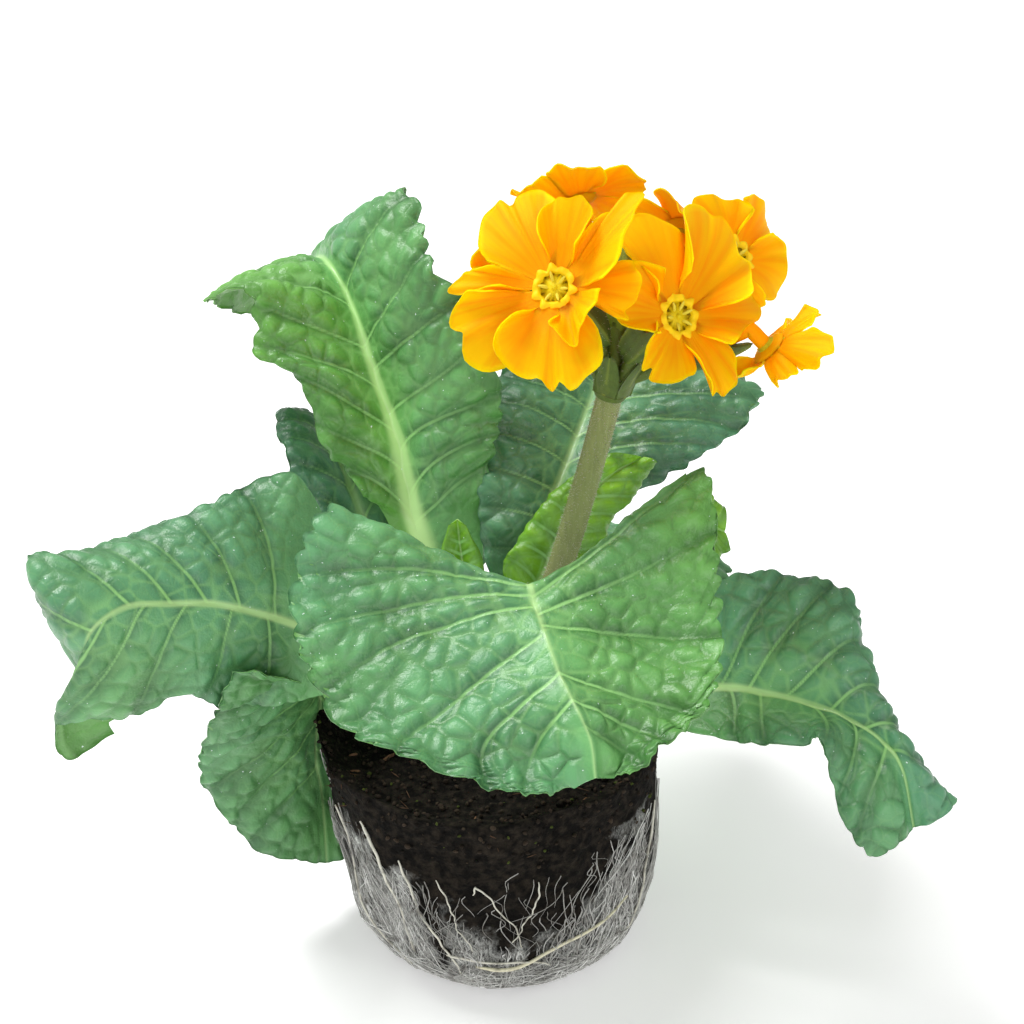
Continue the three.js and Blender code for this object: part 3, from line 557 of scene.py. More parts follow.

# The leaves. midrib, left, right: their rails, close to those of the imported model. bow: how far each
# half of the blade arches up. wave: the height, the count and the start of the waves along the
# margin. flat: the share of the length, from the foot, that is a plain stalk. veins: for
# each half, the shares of the length where a side vein leaves the midrib and where it meets the
# margin. rib: the width of the midrib at its base and its tip. relief: how far the blade puckers
# between the veins. teeth: how far the margin's scallops stand out. warm: how yellow each half's
# green is. pale: how pale the midrib is. dark: painted shade, how far the leaf's colour is
# darkened because it stands in shade. young: whether it is a young yellow-green one. turned: whether
# its upper face looks down over most of its length. heading and half: for a hidden leaf with plain
# margins, the way it grows in degrees and half its width.
PLAIN_LEAF = {
    "bow": (3, 3), "flat": 0.2, "rib": (5, 1.2), "relief": 1.0, "teeth": 0.8, "warm": (0.25, 0.25),
    "pale": 0.75, "dark": 0.04, "young": False, "turned": False,
}
LEAVES = [
    {"name": "leaf_front",
     "midrib": [(-2, -5, 56), (-1, -21, 88), (5, -40, 119), (7, -48, 119), (9, -56, 117), (12, -65, 112.5),
         (15, -72, 109.5), (18, -78, 105), (19, -83, 99)],
     "left": [(-5, -4, 56), (-5, -22, 88), (-22, -30, 121), (-37, -34, 135), (-44, -50, 122),
         (-37, -66, 108), (-24, -76, 101), (-3, -82, 97), (10, -84, 96)],
     "right": [(1, -5, 56), (3, -21, 88), (19, -31, 117), (43, -21, 139), (46, -38, 121), (46, -54, 112),
         (42, -67, 106), (33, -77, 102), (26, -82, 99)],
     "veins": ([(0.29, 0.47), (0.33, 0.55), (0.38, 0.62), (0.5, 0.77), (0.62, 0.88), (0.73, 0.95)],
               [(0.34, 0.37), (0.42, 0.46), (0.47, 0.6), (0.62, 0.77), (0.73, 0.86), (0.83, 0.94)]),
     "bow": (4, 4), "wave": (1.2, 5, 0.4), "rib": (2.6, 0.6), "relief": 1.15, "teeth": 1.3,
     "warm": (0.3, 0.6)},
    {"name": "leaf_back_left",
     "midrib": [(-7, 3, 57), (-20, 22, 94), (-23, 28, 104), (-26, 35, 118), (-30, 41, 128), (-34, 47, 138),
         (-38, 55, 147), (-44, 65, 154), (-49, 78, 151), (-53, 90, 140)],
     "left": [(-9, 1, 57), (-28, 27, 98), (-35, 27, 109), (-43, 30, 118), (-50, 33, 136), (-60, 37, 142),
         (-62, 43, 155), (-73, 48, 152), (-72, 62, 144), (-62, 84, 134)],
     "right": [(-5, 5, 57), (-5, 22, 99), (-4, 24, 112), (-2, 26, 122), (-1, 28, 134), (-5, 32, 152),
         (-17, 42, 162), (-22, 56, 174), (-28, 72, 166), (-41, 90, 148)],
     "veins": ([(0.2, 0.3), (0.28, 0.38), (0.36, 0.46), (0.46, 0.57), (0.56, 0.64), (0.66, 0.75),
                (0.78, 0.87)],
               [(0.16, 0.28), (0.24, 0.36), (0.32, 0.45), (0.4, 0.53), (0.51, 0.6), (0.57, 0.69),
                (0.7, 0.8)]),
     "bow": (2, 3), "wave": (1.5, 6, 0.4), "flat": 0.1, "rib": (8.5, 1.6), "pale": 1.0, "relief": 1.1,
     "teeth": 1.3, "warm": (0.85, 0.4)},
    {"name": "leaf_left",
     "midrib": [(-8, -4, 58), (-27, -8, 81), (-49, -13, 94), (-56, -17, 99), (-65, -23, 105),
         (-74, -29, 108.5), (-83, -35, 111), (-90, -41, 107), (-91, -37, 92), (-88, -31, 80)],
     "left": [(-7, -6, 58), (-26, -13, 77), (-44, -15, 75.5), (-52, -17, 74.5), (-64, -22, 76.5),
         (-74, -28, 84), (-83, -33, 81), (-98.5, -36, 81.5), (-101.5, -33, 70.5), (-88.5, -29, 74.5)],
     "right": [(-9, -1, 58), (-30, 0, 88), (-46, 2, 123), (-55, 2, 124.5), (-69, -5, 121), (-82, -12, 119),
         (-95, -20, 118), (-105, -28, 120), (-99, -22, 104), (-89, -27, 86)],
     "veins": ([(0.3, 0.38), (0.4, 0.5), (0.51, 0.67), (0.61, 0.8), (0.71, 0.92)],
               [(0.26, 0.38), (0.38, 0.48), (0.46, 0.58), (0.55, 0.64), (0.65, 0.71), (0.76, 0.82)]),
     "bow": (2, 3), "wave": (1.5, 4, 0.9), "flat": 0.15, "rib": (3.2, 0.9), "relief": 0.8, "teeth": 0.5,
     "warm": (0.3, 0.15), "dark": 0.12, "pale": 1.0},
    {"name": "leaf_right",
     "midrib": [(4, -5, 55), (26, -12, 73), (50, -20, 81), (60.5, -25, 82.5), (71, -31, 83),
         (78, -36, 82.5), (85, -41, 80), (89, -46, 76), (92, -50, 63)],
     "left": [(6, -3.5, 55), (28, -8, 74), (49, -6, 100), (67, -8, 104.5), (80, -14, 102.5), (84, -22, 91),
         (87, -32, 82), (93, -40, 76.5), (101.5, -45, 67.5)],
     "right": [(2.5, -7, 55), (24, -17, 71), (46.5, -30, 74.5), (55, -36, 76.5), (66.5, -42, 80),
         (70, -46, 84), (73, -50, 76), (76.5, -54, 65), (82.5, -55, 58)],
     "veins": ([(0.25, 0.36), (0.32, 0.46), (0.42, 0.6), (0.55, 0.72), (0.68, 0.83), (0.8, 0.92)],
               [(0.27, 0.34), (0.36, 0.42), (0.49, 0.66), (0.63, 0.8), (0.77, 0.9)]),
     "bow": (3, 1), "wave": (1.2, 4, 2.2), "flat": 0.15, "rib": (3, 0.9), "relief": 1.1, "teeth": 0.9,
     "warm": (0.12, 0.4), "dark": 0.12, "pale": 1.0},
    {"name": "leaf_low_left",
     "midrib": [(-11, 0, 54), (-24, 1, 63), (-38, 2, 70), (-46.5, 0, 70.5), (-45.5, 4, 62), (-47.5, 6, 46),
         (-46.5, 7, 31), (-46, 5, 12)],
     "left": [(-11, 2, 54), (-24, 4, 63), (-35, 7, 69), (-41, 9, 67), (-42, 13, 60), (-44, 17, 45),
         (-41, 19, 30), (-39, 14, 11)],
     "right": [(-11, -2, 54), (-24, -3, 63), (-42, -9, 73), (-57.5, -31, 92), (-66, -25, 78),
         (-72, -16, 62), (-72, -10, 44), (-64, -3, 23)],
     "veins": ([(0.4, 0.5), (0.55, 0.65), (0.7, 0.8), (0.85, 0.95)],
               [(0.38, 0.46), (0.42, 0.58), (0.46, 0.72), (0.52, 0.86), (0.62, 0.95), (0.76, 0.99)]),
     "bow": (1, 1), "wave": (1, 3, 0), "flat": 0.25, "rib": (3, 0.9), "relief": 1.1, "warm": (0.3, 0.3),
     "turned": True, "dark": 0.2},
    {"name": "leaf_back",
     "midrib": [(0, 6, 57), (6, 14, 88), (10, 19, 105), (14, 27, 112), (18, 37, 118.5), (22, 48, 124),
         (25, 60, 127), (29, 74, 122)],
     "left": [(-2, 6, 57), (-2, 14, 86), (-5, 17, 97), (-6, 23, 110), (-6, 32, 121), (-5, 42, 128),
         (2, 55, 131), (13, 72, 127)],
     "right": [(3, 6, 57), (10, 14, 86), (20, 19, 101), (33, 24, 110), (50, 31, 117), (60, 38, 122.5),
         (65, 48, 127), (58, 66, 127)],
     "bow": (2, 3), "wave": (1.4, 5, 0.3), "flat": 0.15, "warm": (0.1, 0.1), "dark": 0.28},
    {"name": "leaf_inner_left",
     "midrib": [(-8.5, 4.5, 54), (-28, 20, 81), (-36, 34, 98), (-42, 45, 109), (-47, 56, 114),
         (-52, 67, 108)],
     "left": [(-9.5, 3, 54), (-32, 16, 81), (-46, 27, 97), (-54, 37, 112), (-58, 49, 118), (-59, 64, 109)],
     "right": [(-7, 6, 54), (-24, 24, 80), (-27, 40, 97), (-31, 51, 106), (-37, 62, 111), (-46, 71, 106)],
     "bow": (2, 2), "wave": (1.2, 5, 0.3), "warm": (0.1, 0.1), "dark": 0.35},
    {"name": "leaf_young_back",
     "midrib": [(-1, 5, 61), (4, 7, 82), (10, 8, 96), (13.5, 11, 105), (19, 15, 112), (26.5, 20, 117),
         (34, 25, 119)],
     "left": [(-2.5, 5, 61), (1, 7, 82), (0, 8, 97), (3, 10, 104), (9, 14, 111.5), (16, 18, 117),
         (25, 23, 121)],
     "right": [(0.5, 5, 61), (8, 7, 81), (17.5, 9, 94), (24, 12, 101.5), (27, 15, 107), (33, 20, 112),
         (38, 25, 117)],
     "bow": (1.5, 1.5), "wave": (0.7, 5, 0.3), "rib": (3, 0.8), "relief": 0.8, "teeth": 1.1,
     "warm": (0.9, 0.9), "young": True},
    {"name": "leaf_young_right",
     "midrib": [(6.5, -1, 57), (22, -1, 82), (35, 3, 100), (46, 6, 110), (53, 7, 108)],
     "left": [(6.5, 1, 57), (20.5, 1, 84), (33, 5, 107), (46, 7, 119), (53, 9, 114)],
     "right": [(6.5, -3, 57), (24, -3, 80), (41, 1, 95), (50, 3, 101), (54.5, 6, 103)],
     "bow": (1, 1), "wave": (0.7, 5, 0.3), "flat": 0.25, "rib": (3, 0.8), "relief": 0.8, "teeth": 1.0,
     "warm": (0.8, 0.8), "young": True},
    {"name": "leaf_bud",
     "midrib": [(-4, 2, 64), (-8, 6, 87), (-10, 9, 100), (-11, 11, 109)],
     "left": [(-5, 0.5, 64), (-12, 4, 87), (-15, 6, 100), (-13.5, 10, 108)],
     "right": [(-2.5, 2.5, 64), (-5, 4, 87), (-5, 6, 100), (-8.5, 10, 108)],
     "bow": (0.5, 0.5), "wave": (0, 5, 0), "rib": (1.5, 0.5), "relief": 0.5, "teeth": 0.5,
     "warm": (0.9, 0.9), "young": True},
    {"name": "leaf_low_right",
     "midrib": [(5, 3, 54), (27, 10, 68), (48, 17, 75), (66, 24, 70), (80, 30, 55)],
     "heading": 20, "half": 22, "wave": (1.8, 4, 2.3), "flat": 0.3, "relief": 0.9},
    {"name": "leaf_low_back_right",
     "midrib": [(2, 8, 56), (15, 27, 73), (28, 50, 78), (38, 72, 71), (45, 89, 56)],
     "heading": 61, "half": 27, "wave": (1.8, 4, 0.3), "flat": 0.3, "relief": 0.9},
    {"name": "leaf_low_back_left",
     "midrib": [(-4, 8, 55), (-17, 29, 71), (-26, 52, 78), (-32, 75, 73), (-36, 94, 58)],
     "heading": 112, "half": 27, "wave": (1.8, 4, 1.3), "flat": 0.3, "relief": 0.9},
]


def margin_of(leaf, side):
    """A leaf's left margin, -1, or right one, 1. A hidden leaf has plain ones, mirrored."""
    if "half" not in leaf:
        return leaf["left" if side < 0 else "right"]
    heading = math.radians(leaf["heading"])
    way = np.array([math.sin(heading), -math.cos(heading)])
    margin = np.array(leaf["midrib"], float)
    s = np.linspace(0, 1, len(margin))
    opening = smooth((s - 0.1) / 0.5) * np.sqrt(1 - smooth((s - 0.62) / 0.42) ** 2)
    out = 2.5 + (leaf["half"] - 2.5) * opening
    margin[:, :2] += side * out[:, None] * way
    margin[:, 2] -= 0.12 * out
    return margin


def lengths(points, axis):
    """How far along one axis of a grid each of its points lies, in millimetres."""
    step = np.linalg.norm(np.diff(points, axis=axis), axis=2)
    start = np.zeros_like(step[:1] if axis == 0 else step[:, :1])
    return np.cumsum(np.concatenate([start, step], axis), axis)


FORK = 0.4  # share of the way to the margin at which a side vein branches
FAR = 50.0  # farther from every vein than any point of a leaf
VEIN_STEPS = 7  # how many columns to either side the nearest stretch of a vein is looked for
CUSHION = 5.5  # size of the cushions between the veins
CALM_FOOT, CALM_TIP = 10, 2.5  # how far out from the midrib the cushions reach their full height
FOLD, CREASE = 1.9, 1.1  # how wide the blade dips along a side vein, and along any vein
KEEL = 1.5  # how far the midrib stands out below, at its foot
SCALLOP = 0.46  # radians of the scallops' wave in a millimetre of the margin
INNER = 5  # columns in from the margin, from where its outward way is taken


def vein_rows(leaf, side, reach):
    """The share of the length at which each side vein, and its branch, crosses each reach."""
    plain = [(0.18 + 0.1 * k, 0.3 + 0.1 * k) for k in range(8)]
    mains = leaf["veins"][side] if "veins" in leaf else plain
    beyond = (1, min(1.0, mains[-1][1] + 0.12))
    rows = []
    for (start, end), (_, after) in zip(mains, mains[1:] + [beyond]):
        way = start + (end - start) * reach**0.8
        leave = start + (end - start) * FORK**0.8
        share = np.clip((reach - FORK) / (1 - FORK), 0, 1)
        branch = leave + (0.5 * (end + after) - leave) * share**0.9
        rows += [way, np.where(reach > FORK, branch, way + 1e-4)]
    return np.array(rows)


def vein_distances(rows, s, grid):
    """For each point: millimetres to the nearest side vein, and to the nearest vein or branch."""
    columns = np.arange(grid.shape[1])
    main = np.full(grid.shape[:2], FAR)
    every = main.copy()
    for number, way in enumerate(rows):
        line = [[np.interp(way[j], s, grid[:, j, axis]) for axis in range(3)] for j in columns]
        line = np.array(line)
        distance = np.full(grid.shape[:2], FAR)
        for step in range(-VEIN_STEPS, VEIN_STEPS):
            here = line[np.clip(columns + step, 0, columns[-1])]
            on = line[np.clip(columns + step + 1, 0, columns[-1])] - here
            share = ((grid - here) * on).sum(-1) / np.maximum((on**2).sum(-1), 1e-9)
            foot = here + np.clip(share, 0, 1)[..., None] * on
            distance = np.minimum(distance, np.linalg.norm(grid - foot, axis=-1))
        if number % 2 == 0:
            main = np.minimum(main, distance)
        every = np.minimum(every, distance)
    return main, every


def vein_map(leaf, s, t, grid):
    """The two distances of vein_distances, for both halves of a leaf."""
    main, every = np.zeros((2, *grid.shape[:2]))
    middle = len(t) // 2
    for side, half in enumerate([slice(0, middle + 1), slice(middle, len(t))]):
        ways = vein_rows(leaf, side, np.abs(t[half]))
        main[:, half], every[:, half] = vein_distances(ways, s, grid[:, half])
    return main, every


def blade_of(leaf, s, t):
    """The middle surface of a leaf at shares s of its length and t from its left margin, -1, to 1."""
    midrib = spline(leaf["midrib"], s)
    left, right = spline(margin_of(leaf, -1), s), spline(margin_of(leaf, 1), s)
    edge = np.where((t > 0)[None, :, None], right[:, None], left[:, None])
    reach = np.abs(t)
    n = unit(np.cross(right - left, np.gradient(midrib, axis=0)))
    bow = np.where(t > 0, leaf["bow"][1], leaf["bow"][0]) * 4 * reach * (1 - reach)
    height, count, phase = leaf["wave"]
    turns = 2 * np.pi * count * s[:, None] + phase + np.where(t > 0, 1.7, 0)[None]
    lift = smooth((s - leaf["flat"]) / 0.3)[:, None] * (bow[None] + height * reach**3 * np.sin(turns))
    return midrib[:, None] + (edge - midrib[:, None]) * reach[None, :, None] + n[:, None] * lift[..., None]


def leaf_size(name):
    """How finely a leaf is cut: the nearer to the viewer it stands, the finer."""
    if name == "leaf_front":
        return 251, 131
    if name in ("leaf_back_left", "leaf_left", "leaf_right"):
        return 201, 109
    if name in ("leaf_low_left", "leaf_back", "leaf_young_back"):
        return 161, 85
    return (81, 41) if name == "leaf_bud" else (121, 61)


def make_leaf(leaf, seed):
    rows, columns = leaf_size(leaf["name"])
    s = np.linspace(0, 1, rows)
    t = np.linspace(-1, 1, columns)
    grid = blade_of(leaf, s, t)
    along = lengths(grid, 0)
    across = lengths(grid, 1)
    middle = columns // 2
    across = np.abs(across - across[:, middle : middle + 1])
    reach = np.abs(t)
    main, every = vein_map(leaf, s, t, grid)

    # How the blade puckers: hardly near the midrib, in cushions between the veins farther out
    opening = smooth((s - leaf["flat"]) / 0.18)[:, None]
    calm = CALM_FOOT - (CALM_FOOT - CALM_TIP) * smooth((s[:, None] - 0.55) / 0.3)
    outer = smooth((across - 1.5) / calm) * opening
    net = cells(grid, CUSHION, seed)
    cushion = 1 - np.exp(-1.7 * net)
    fold = 1 - np.exp(-((main / FOLD) ** 2))
    crease = 1 - np.exp(-((every / CREASE) ** 2))
    puff = leaf["relief"] * outer
    rise = leaf["relief"] * opening * (0.35 + 0.65 * outer) * (0.6 * fold + 0.15 * crease)
    rise = rise + puff * ((0.4 + 0.7 * crease) * cushion + 0.6 * noise(grid, 6, seed + 9))
    rise = rise - 1.1 * opening * reach[None] ** 12

    # The midrib, and the margin with its scallops
    rib_width = leaf["rib"][1] + (leaf["rib"][0] - leaf["rib"][1]) * (1 - s[:, None]) ** 1.6
    rib = np.exp(-((across / (0.5 * rib_width)) ** 4))
    crinkle = 1.1 * leaf["teeth"] * noise(grid, 7, seed) * reach[None] ** 5 * opening
    rim = np.where((t > 0)[None, :, None], grid[:, -1:], grid[:, :1])
    inner = np.where((t > 0)[None, :, None], grid[:, -INNER - 1 : -INNER], grid[:, INNER : INNER + 1])
    outward = unit(rim - inner)
    scallop = np.abs(np.sin(along * SCALLOP + 1.1 * np.sin(along * SCALLOP / 2 + seed)))
    stand = leaf["teeth"] * opening * (0.6 * np.tanh(every / 2.2) - 1.0 + 1.5 * scallop)
    width = np.where(t > 0, across[:, -1:], across[:, :1])
    stand = stand * np.clip(width / 24 - 0.2, 0, 1)

    # Both faces, along the normals of the blade before its scallops are cut
    n = normals(grid)
    grid = grid + outward * (stand * reach[None] ** 7)[..., None]
    if (n[rows // 3 :, :, 2].mean() < 0) != leaf["turned"]:
        n = -n
    keel = (KEEL * (1 - 0.7 * s[:, None]) + 0.2) * np.exp(-((across / (0.45 * rib_width)) ** 2))
    thick = BLADE_THICK + keel + 0.25 * opening * np.exp(-((main / 0.7) ** 2)) - 0.2 * reach[None] ** 8
    top = rise + crinkle - 0.3 * rib * opening
    upper = grid + n * top[..., None]
    lower = grid + n * (0.9 * rise + crinkle - thick)[..., None]

    # What the material reads
    warm = leaf["warm"][0] + (leaf["warm"][1] - leaf["warm"][0]) * smooth((t + 0.3) / 0.6)[None]
    warm = warm + 0.25 * noise(grid, 22, seed + 3)
    fade = np.clip(1.15 - 1.15 * reach[None], 0, 1) * (0.3 + 0.7 * opening)
    values = {
        "main": np.minimum(main, 6),
        "branch": np.minimum(every, 6),
        "cell": np.minimum(net, 1),
        "fade": fade * (1 - 0.85 * smooth((s[:, None] - 0.76) / 0.16)),
        "rib": rib * (1 - 0.4 * s[:, None]) * leaf["pale"],
        # Painted shade in the furrows: the relief value is low along the veins and at the cushions' edges,
        # and darkens the green there
        "relief": (0.3 + 0.35 * fold + 0.25 * crease) * (1 - 0.5 * outer * (1 - cushion)),
        "warm": np.clip(warm, 0, 1),
        "young": float(leaf["young"]),
        "dark": leaf["dark"],
    }
    piece = Piece()
    add_sheet(piece, upper, lower, coarse=2, low={"under": 1.0}, **values)
    slot = "young_leaf" if leaf["young"] else "leaf"
    stand_for(piece, leaf["name"] + "_blade", [LEAF], slot, leaf["name"])


for number, leaf in enumerate(LEAVES):
    make_leaf({**PLAIN_LEAF, **leaf}, number + 1)


# The plug of compost
def plug_centre(z):
    return PLUG_LEAN * z / PLUG_HEIGHT


def plug_point(angle, z, out=0.0):
    """A point on the plug's side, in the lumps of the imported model."""
    wave = 0.7 * np.sin(3 * angle + 0.9) + 0.5 * np.sin(7 * angle + z / 9)
    wave = wave + 0.45 * np.sin(11 * angle - z / 6 + 2)
    r = np.interp(z, PLUG_HEIGHTS, PLUG_RADII) + wave * smooth(z / 10) + out
    return np.stack([plug_centre(z) + r * np.cos(angle), r * np.sin(angle), z + 0 * r], -1)


def rim_rise(angle):
    """How far the rim of the plug stands up: a lump on the left, and low waves all round."""
    return 1.6 * np.exp(-((angle % (2 * np.pi) - np.pi) ** 2) / 0.12) + 0.7 * np.sin(5 * angle + 1)


def mat_share(angle, z):
    """How thickly roots cover the plug's side: least at the upper front, most low down and left."""
    turn = np.degrees(angle) % 360
    bare = np.exp(-(((turn - 276) / 34) ** 2)) * smooth((z - 16) / 22)
    low = smooth((30 - z) / 26)
    left = np.exp(-(((turn - 228) / 24) ** 2)) * smooth((50 - z) / 14)
    right = np.exp(-(((turn - 312) / 20) ** 2)) * smooth((36 - z) / 12)
    at = plug_point(angle, z)
    clumps = 0.6 * noise(at * [1, 1, 0.6], 9, 61) + 0.5 * noise(at * [1, 1, 0.45], 3.5, 62)
    share = 0.4 + 0.3 * low + 1.1 * left + 0.4 * right - 0.8 * bare - 0.6 * smooth((z - 44) / 10)
    return np.clip(share * (0.72 + 1.2 * clumps), 0, 1)


def soil_drop(share):
    """How far the soil lies below the rim, at a share of the way out."""
    return SOIL_DIP * smooth((1 - share) / 0.16)


def make_plug():
    angle = circle(PLUG_SIDES)[None]
    foot = np.linspace(0, PLUG_FOOT, FOOT_RINGS)
    heights = np.concatenate([foot, np.linspace(PLUG_FOOT + 0.6, PLUG_HEIGHT, SIDE_RINGS)])[:, None]
    side = plug_point(angle, heights + 0 * angle)
    side[..., 2] += rim_rise(angle) * smooth((heights - 46) / 12)
    out = unit(side * [1, 1, 0])
    rough = 0.5 * noise(side, 5, 21) + 0.35 * noise(side, 2.2, 22) + 0.25 * noise(side, 1.0, 23)
    side = side + out * (rough * smooth((heights - 0.3) / 3))[..., None]
    share = np.linspace(1, 0.02, TOP_RINGS)[:, None]
    radius = (PLUG_RADII[-1] - RIM_WIDTH * smooth((1 - share) / 0.06) * 0.4) * share
    drop = soil_drop(share) - rim_rise(angle) * (1 - smooth((1 - share) / 0.1))
    top = np.stack([PLUG_LEAN + radius * np.cos(angle), radius * np.sin(angle), PLUG_HEIGHT - drop], -1)
    rough = 0.9 * noise(top, 7, 31) + 0.6 * noise(top, 2.5, 32) + 0.4 * noise(top, 1.2, 33)
    top[..., 2] += rough * smooth((1 - share) / 0.04)
    rings = np.concatenate([side, top[1:]])
    mat = mat_share(angle, rings[..., 2])
    mat[len(side) :] = 0
    piece = Piece()
    add_tube(piece, rings, mat=mat)
    add_crumbs(piece)
    stand_for(piece, "plug_compost", [SOIL, CRUMB], "soil", "compost_plug")


OCTAHEDRON = np.array([[1, 0, 0], [-1, 0, 0], [0, 1, 0], [0, -1, 0], [0, 0, 1], [0, 0, -1]], float)
OCTAHEDRON_FACES = np.array(
    [[0, 2, 4], [2, 1, 4], [1, 3, 4], [3, 0, 4], [2, 0, 5], [1, 2, 5], [3, 1, 5], [0, 3, 5]]
)


def lump():
    """A small rounded body with 32 faces: an octahedron split once and blown up to a ball."""
    points = [tuple(p) for p in OCTAHEDRON]
    faces = []
    for a, b, c in OCTAHEDRON_FACES:
        middles = []
        for p, q in ((a, b), (b, c), (c, a)):
            point = tuple((OCTAHEDRON[p] + OCTAHEDRON[q]) / math.sqrt(2))
            if point not in points:
                points.append(point)
            middles.append(points.index(point))
        d, e, f = middles
        faces += [(a, d, f), (d, b, e), (f, e, c), (d, e, f)]
    return np.array(points), np.array(faces)


LUMP, LUMP_FACES = lump()


def add_crumbs(piece):
    """Crumbs of peat on the soil and rim, with chips of bark, specks of moss and short fibres."""
    random = np.random.default_rng(5)
    for k in range(CRUMBS):
        angle = random.uniform(0, 2 * np.pi)
        side = k % 4 == 0
        if side:
            z = PLUG_HEIGHT - 14 * random.random() ** 1.5
            place = plug_point(np.array(angle), np.array(z), 0.1)
        else:
            share = math.sqrt(random.uniform(0.08, 1.02))
            r = (PLUG_RADII[-1] - 1) * share
            z = PLUG_HEIGHT - soil_drop(share) + 0.3
            place = np.array([PLUG_LEAN + r * math.cos(angle), r * math.sin(angle), z])
            place[2] += rim_rise(angle) * smooth((share - 0.9) / 0.1)
        kind = random.random()
        size = random.uniform(0.25, 0.85) * np.array([1, random.uniform(0.6, 1), random.uniform(0.5, 0.9)])
        bark, moss = 0.0, 0.0
        if kind > 0.985:
            bark = 1.0
            size = np.array([random.uniform(1.2, 2.6), random.uniform(0.4, 0.8), random.uniform(0.2, 0.4)])
        elif kind > 0.94:
            moss = 1.0
            size = size * 0.8
        elif kind > 0.915:
            size = np.array([random.uniform(1.2, 2.8), 0.12, 0.12])
            bark = 0.5
        turn = unit(random.normal(size=(3, 3)))
        axes, _ = frame_axes(turn[0] * [1, 1, 0.35], place)
        body = LUMP * size * (1 + 0.25 * random.uniform(-1, 1, LUMP.shape))
        piece.add(place + body @ axes, [LUMP_FACES], 1, shade=random.random(), bark=bark, moss=moss)


# Roots on the plug: fine wavy strands that run down its side, and a few thick ones. For each thick
# root, (angle in degrees, height) along it, then its radius. The first is the yellowest
THICK_ROOTS = [
    ([(262, 14), (278, 13.5), (293, 17), (310, 20.5), (328, 21)], 0.62),
    ([(264, 37), (265, 40), (268, 37), (272, 31), (277, 26), (279, 20)], 0.3),
    ([(286, 40), (284, 33), (280, 27), (276, 22)], 0.28),
    ([(205, 46), (207, 30), (216, 14), (232, 6)], 0.45),
    ([(224, 50), (231, 43), (234, 29), (238, 14)], 0.5),
    ([(240, 44), (243, 31), (251, 21), (256, 10)], 0.4),
    ([(347, 42), (341, 27), (334, 14), (322, 6)], 0.42),
    ([(252, 17), (262, 15.5), (278, 15), (290, 11)], 0.4),
    ([(252, 40), (256, 33), (257, 26), (262, 19)], 0.26),
    ([(30, 50), (38, 34), (30, 20), (44, 8)], 0.5),
    ([(80, 48), (92, 30), (84, 14), (100, 6)], 0.45),
    ([(130, 50), (124, 34), (138, 18), (150, 8)], 0.5),
    ([(172, 46), (165, 30), (178, 16), (186, 7)], 0.42),
    ([(60, 18), (85, 13), (112, 15), (138, 11)], 0.5),
]


def root_rings(angle, height, out, radius, sides):
    """Rings of a root that lies on the plug's side."""
    path = plug_point(angle, height, out)
    centre = np.stack([plug_centre(height), 0 * height, height], -1)
    outward = unit((path - centre) * [1, 1, 0])
    along = unit(np.gradient(path, axis=0))
    across = unit(np.cross(along, outward))
    turn = circle(sides)
    ring = across[:, None] * np.cos(turn)[None, :, None]
    ring = ring + np.cross(across, along)[:, None] * np.sin(turn)[None, :, None]
    return path[:, None] + ring * radius[:, None, None]


def strand_start(random):
    """Where a strand starts: the angle, the height and how thickly roots cover the plug there."""
    while True:
        start = random.uniform(0, 2 * np.pi)
        top = random.uniform(2, 54)
        mat = float(mat_share(np.array(start), np.array(top)))
        loose = 0.14 * smooth((48 - top) / 14)
        if random.random() < mat**1.5 + loose:
            return start, top, mat


def add_strand(piece, random, number):
    """A fine strand that sways down the plug's side, or runs along it near the foot."""
    start, top, mat = strand_start(random)
    share = np.linspace(0, 1, STRAND_RINGS)
    length = random.uniform(6, 26)
    slant = random.normal(0, 0.35) - 0.5 * math.cos(start)
    if top < 16 and random.random() < 0.6:
        slant = random.choice([-1, 1]) * random.uniform(0.8, 2.5)
    height = top - length * share * math.cos(math.atan(slant))
    sway = random.uniform(0.008, 0.055)
    waves = random.uniform(3, 8)
    turn = start + slant * length / 40 * share * 0.8
    turn = turn + sway * np.sin(waves * share + random.uniform(0, 6)) * smooth(share / 0.15)
    height = np.maximum(height, 0.9 + random.uniform(0, 5) * np.exp(-share))
    out = random.uniform(0.1, 1.0) + 0.3 * np.sin(random.uniform(3, 6) * share + number)
    thick = random.uniform(0.06, 0.19) * (1 - 0.5 * share)
    shade = random.uniform(0.3, 1.2) * (0.25 + 0.75 * mat)
    add_tube(piece, root_rings(turn, height, out, thick, STRAND_SIDES), shade=shade)


def add_thick_root(piece, way, radius, yellow):
    share = np.linspace(0, 1, THICK_RINGS)
    points = spline([(angle, height, 0) for angle, height in way], share)
    wobble = 0.006 * np.sin(19 * share + radius * 40) + 0.003 * np.sin(43 * share)
    turn = np.radians(points[:, 0]) + wobble
    out = 0.8 + 0.3 * np.sin(9 * share + radius * 20)
    taper = radius * (1 - 0.35 * share) * (0.55 + 0.45 * smooth(share / 0.1))
    rings = root_rings(turn, points[:, 1], out, 0.8 * taper, THICK_SIDES)
    add_tube(piece, rings, shade=0.5, yellow=yellow)


def make_roots():
    random = np.random.default_rng(3)
    piece = Piece()
    for number in range(STRANDS):
        add_strand(piece, random, number)
    for number, (way, radius) in enumerate(THICK_ROOTS):
        add_thick_root(piece, way, radius, 0.9 if number == 0 else 0.35)
    stand_for(piece, "plug_roots", [ROOT], "root", "root_net")


make_plug()
make_roots()


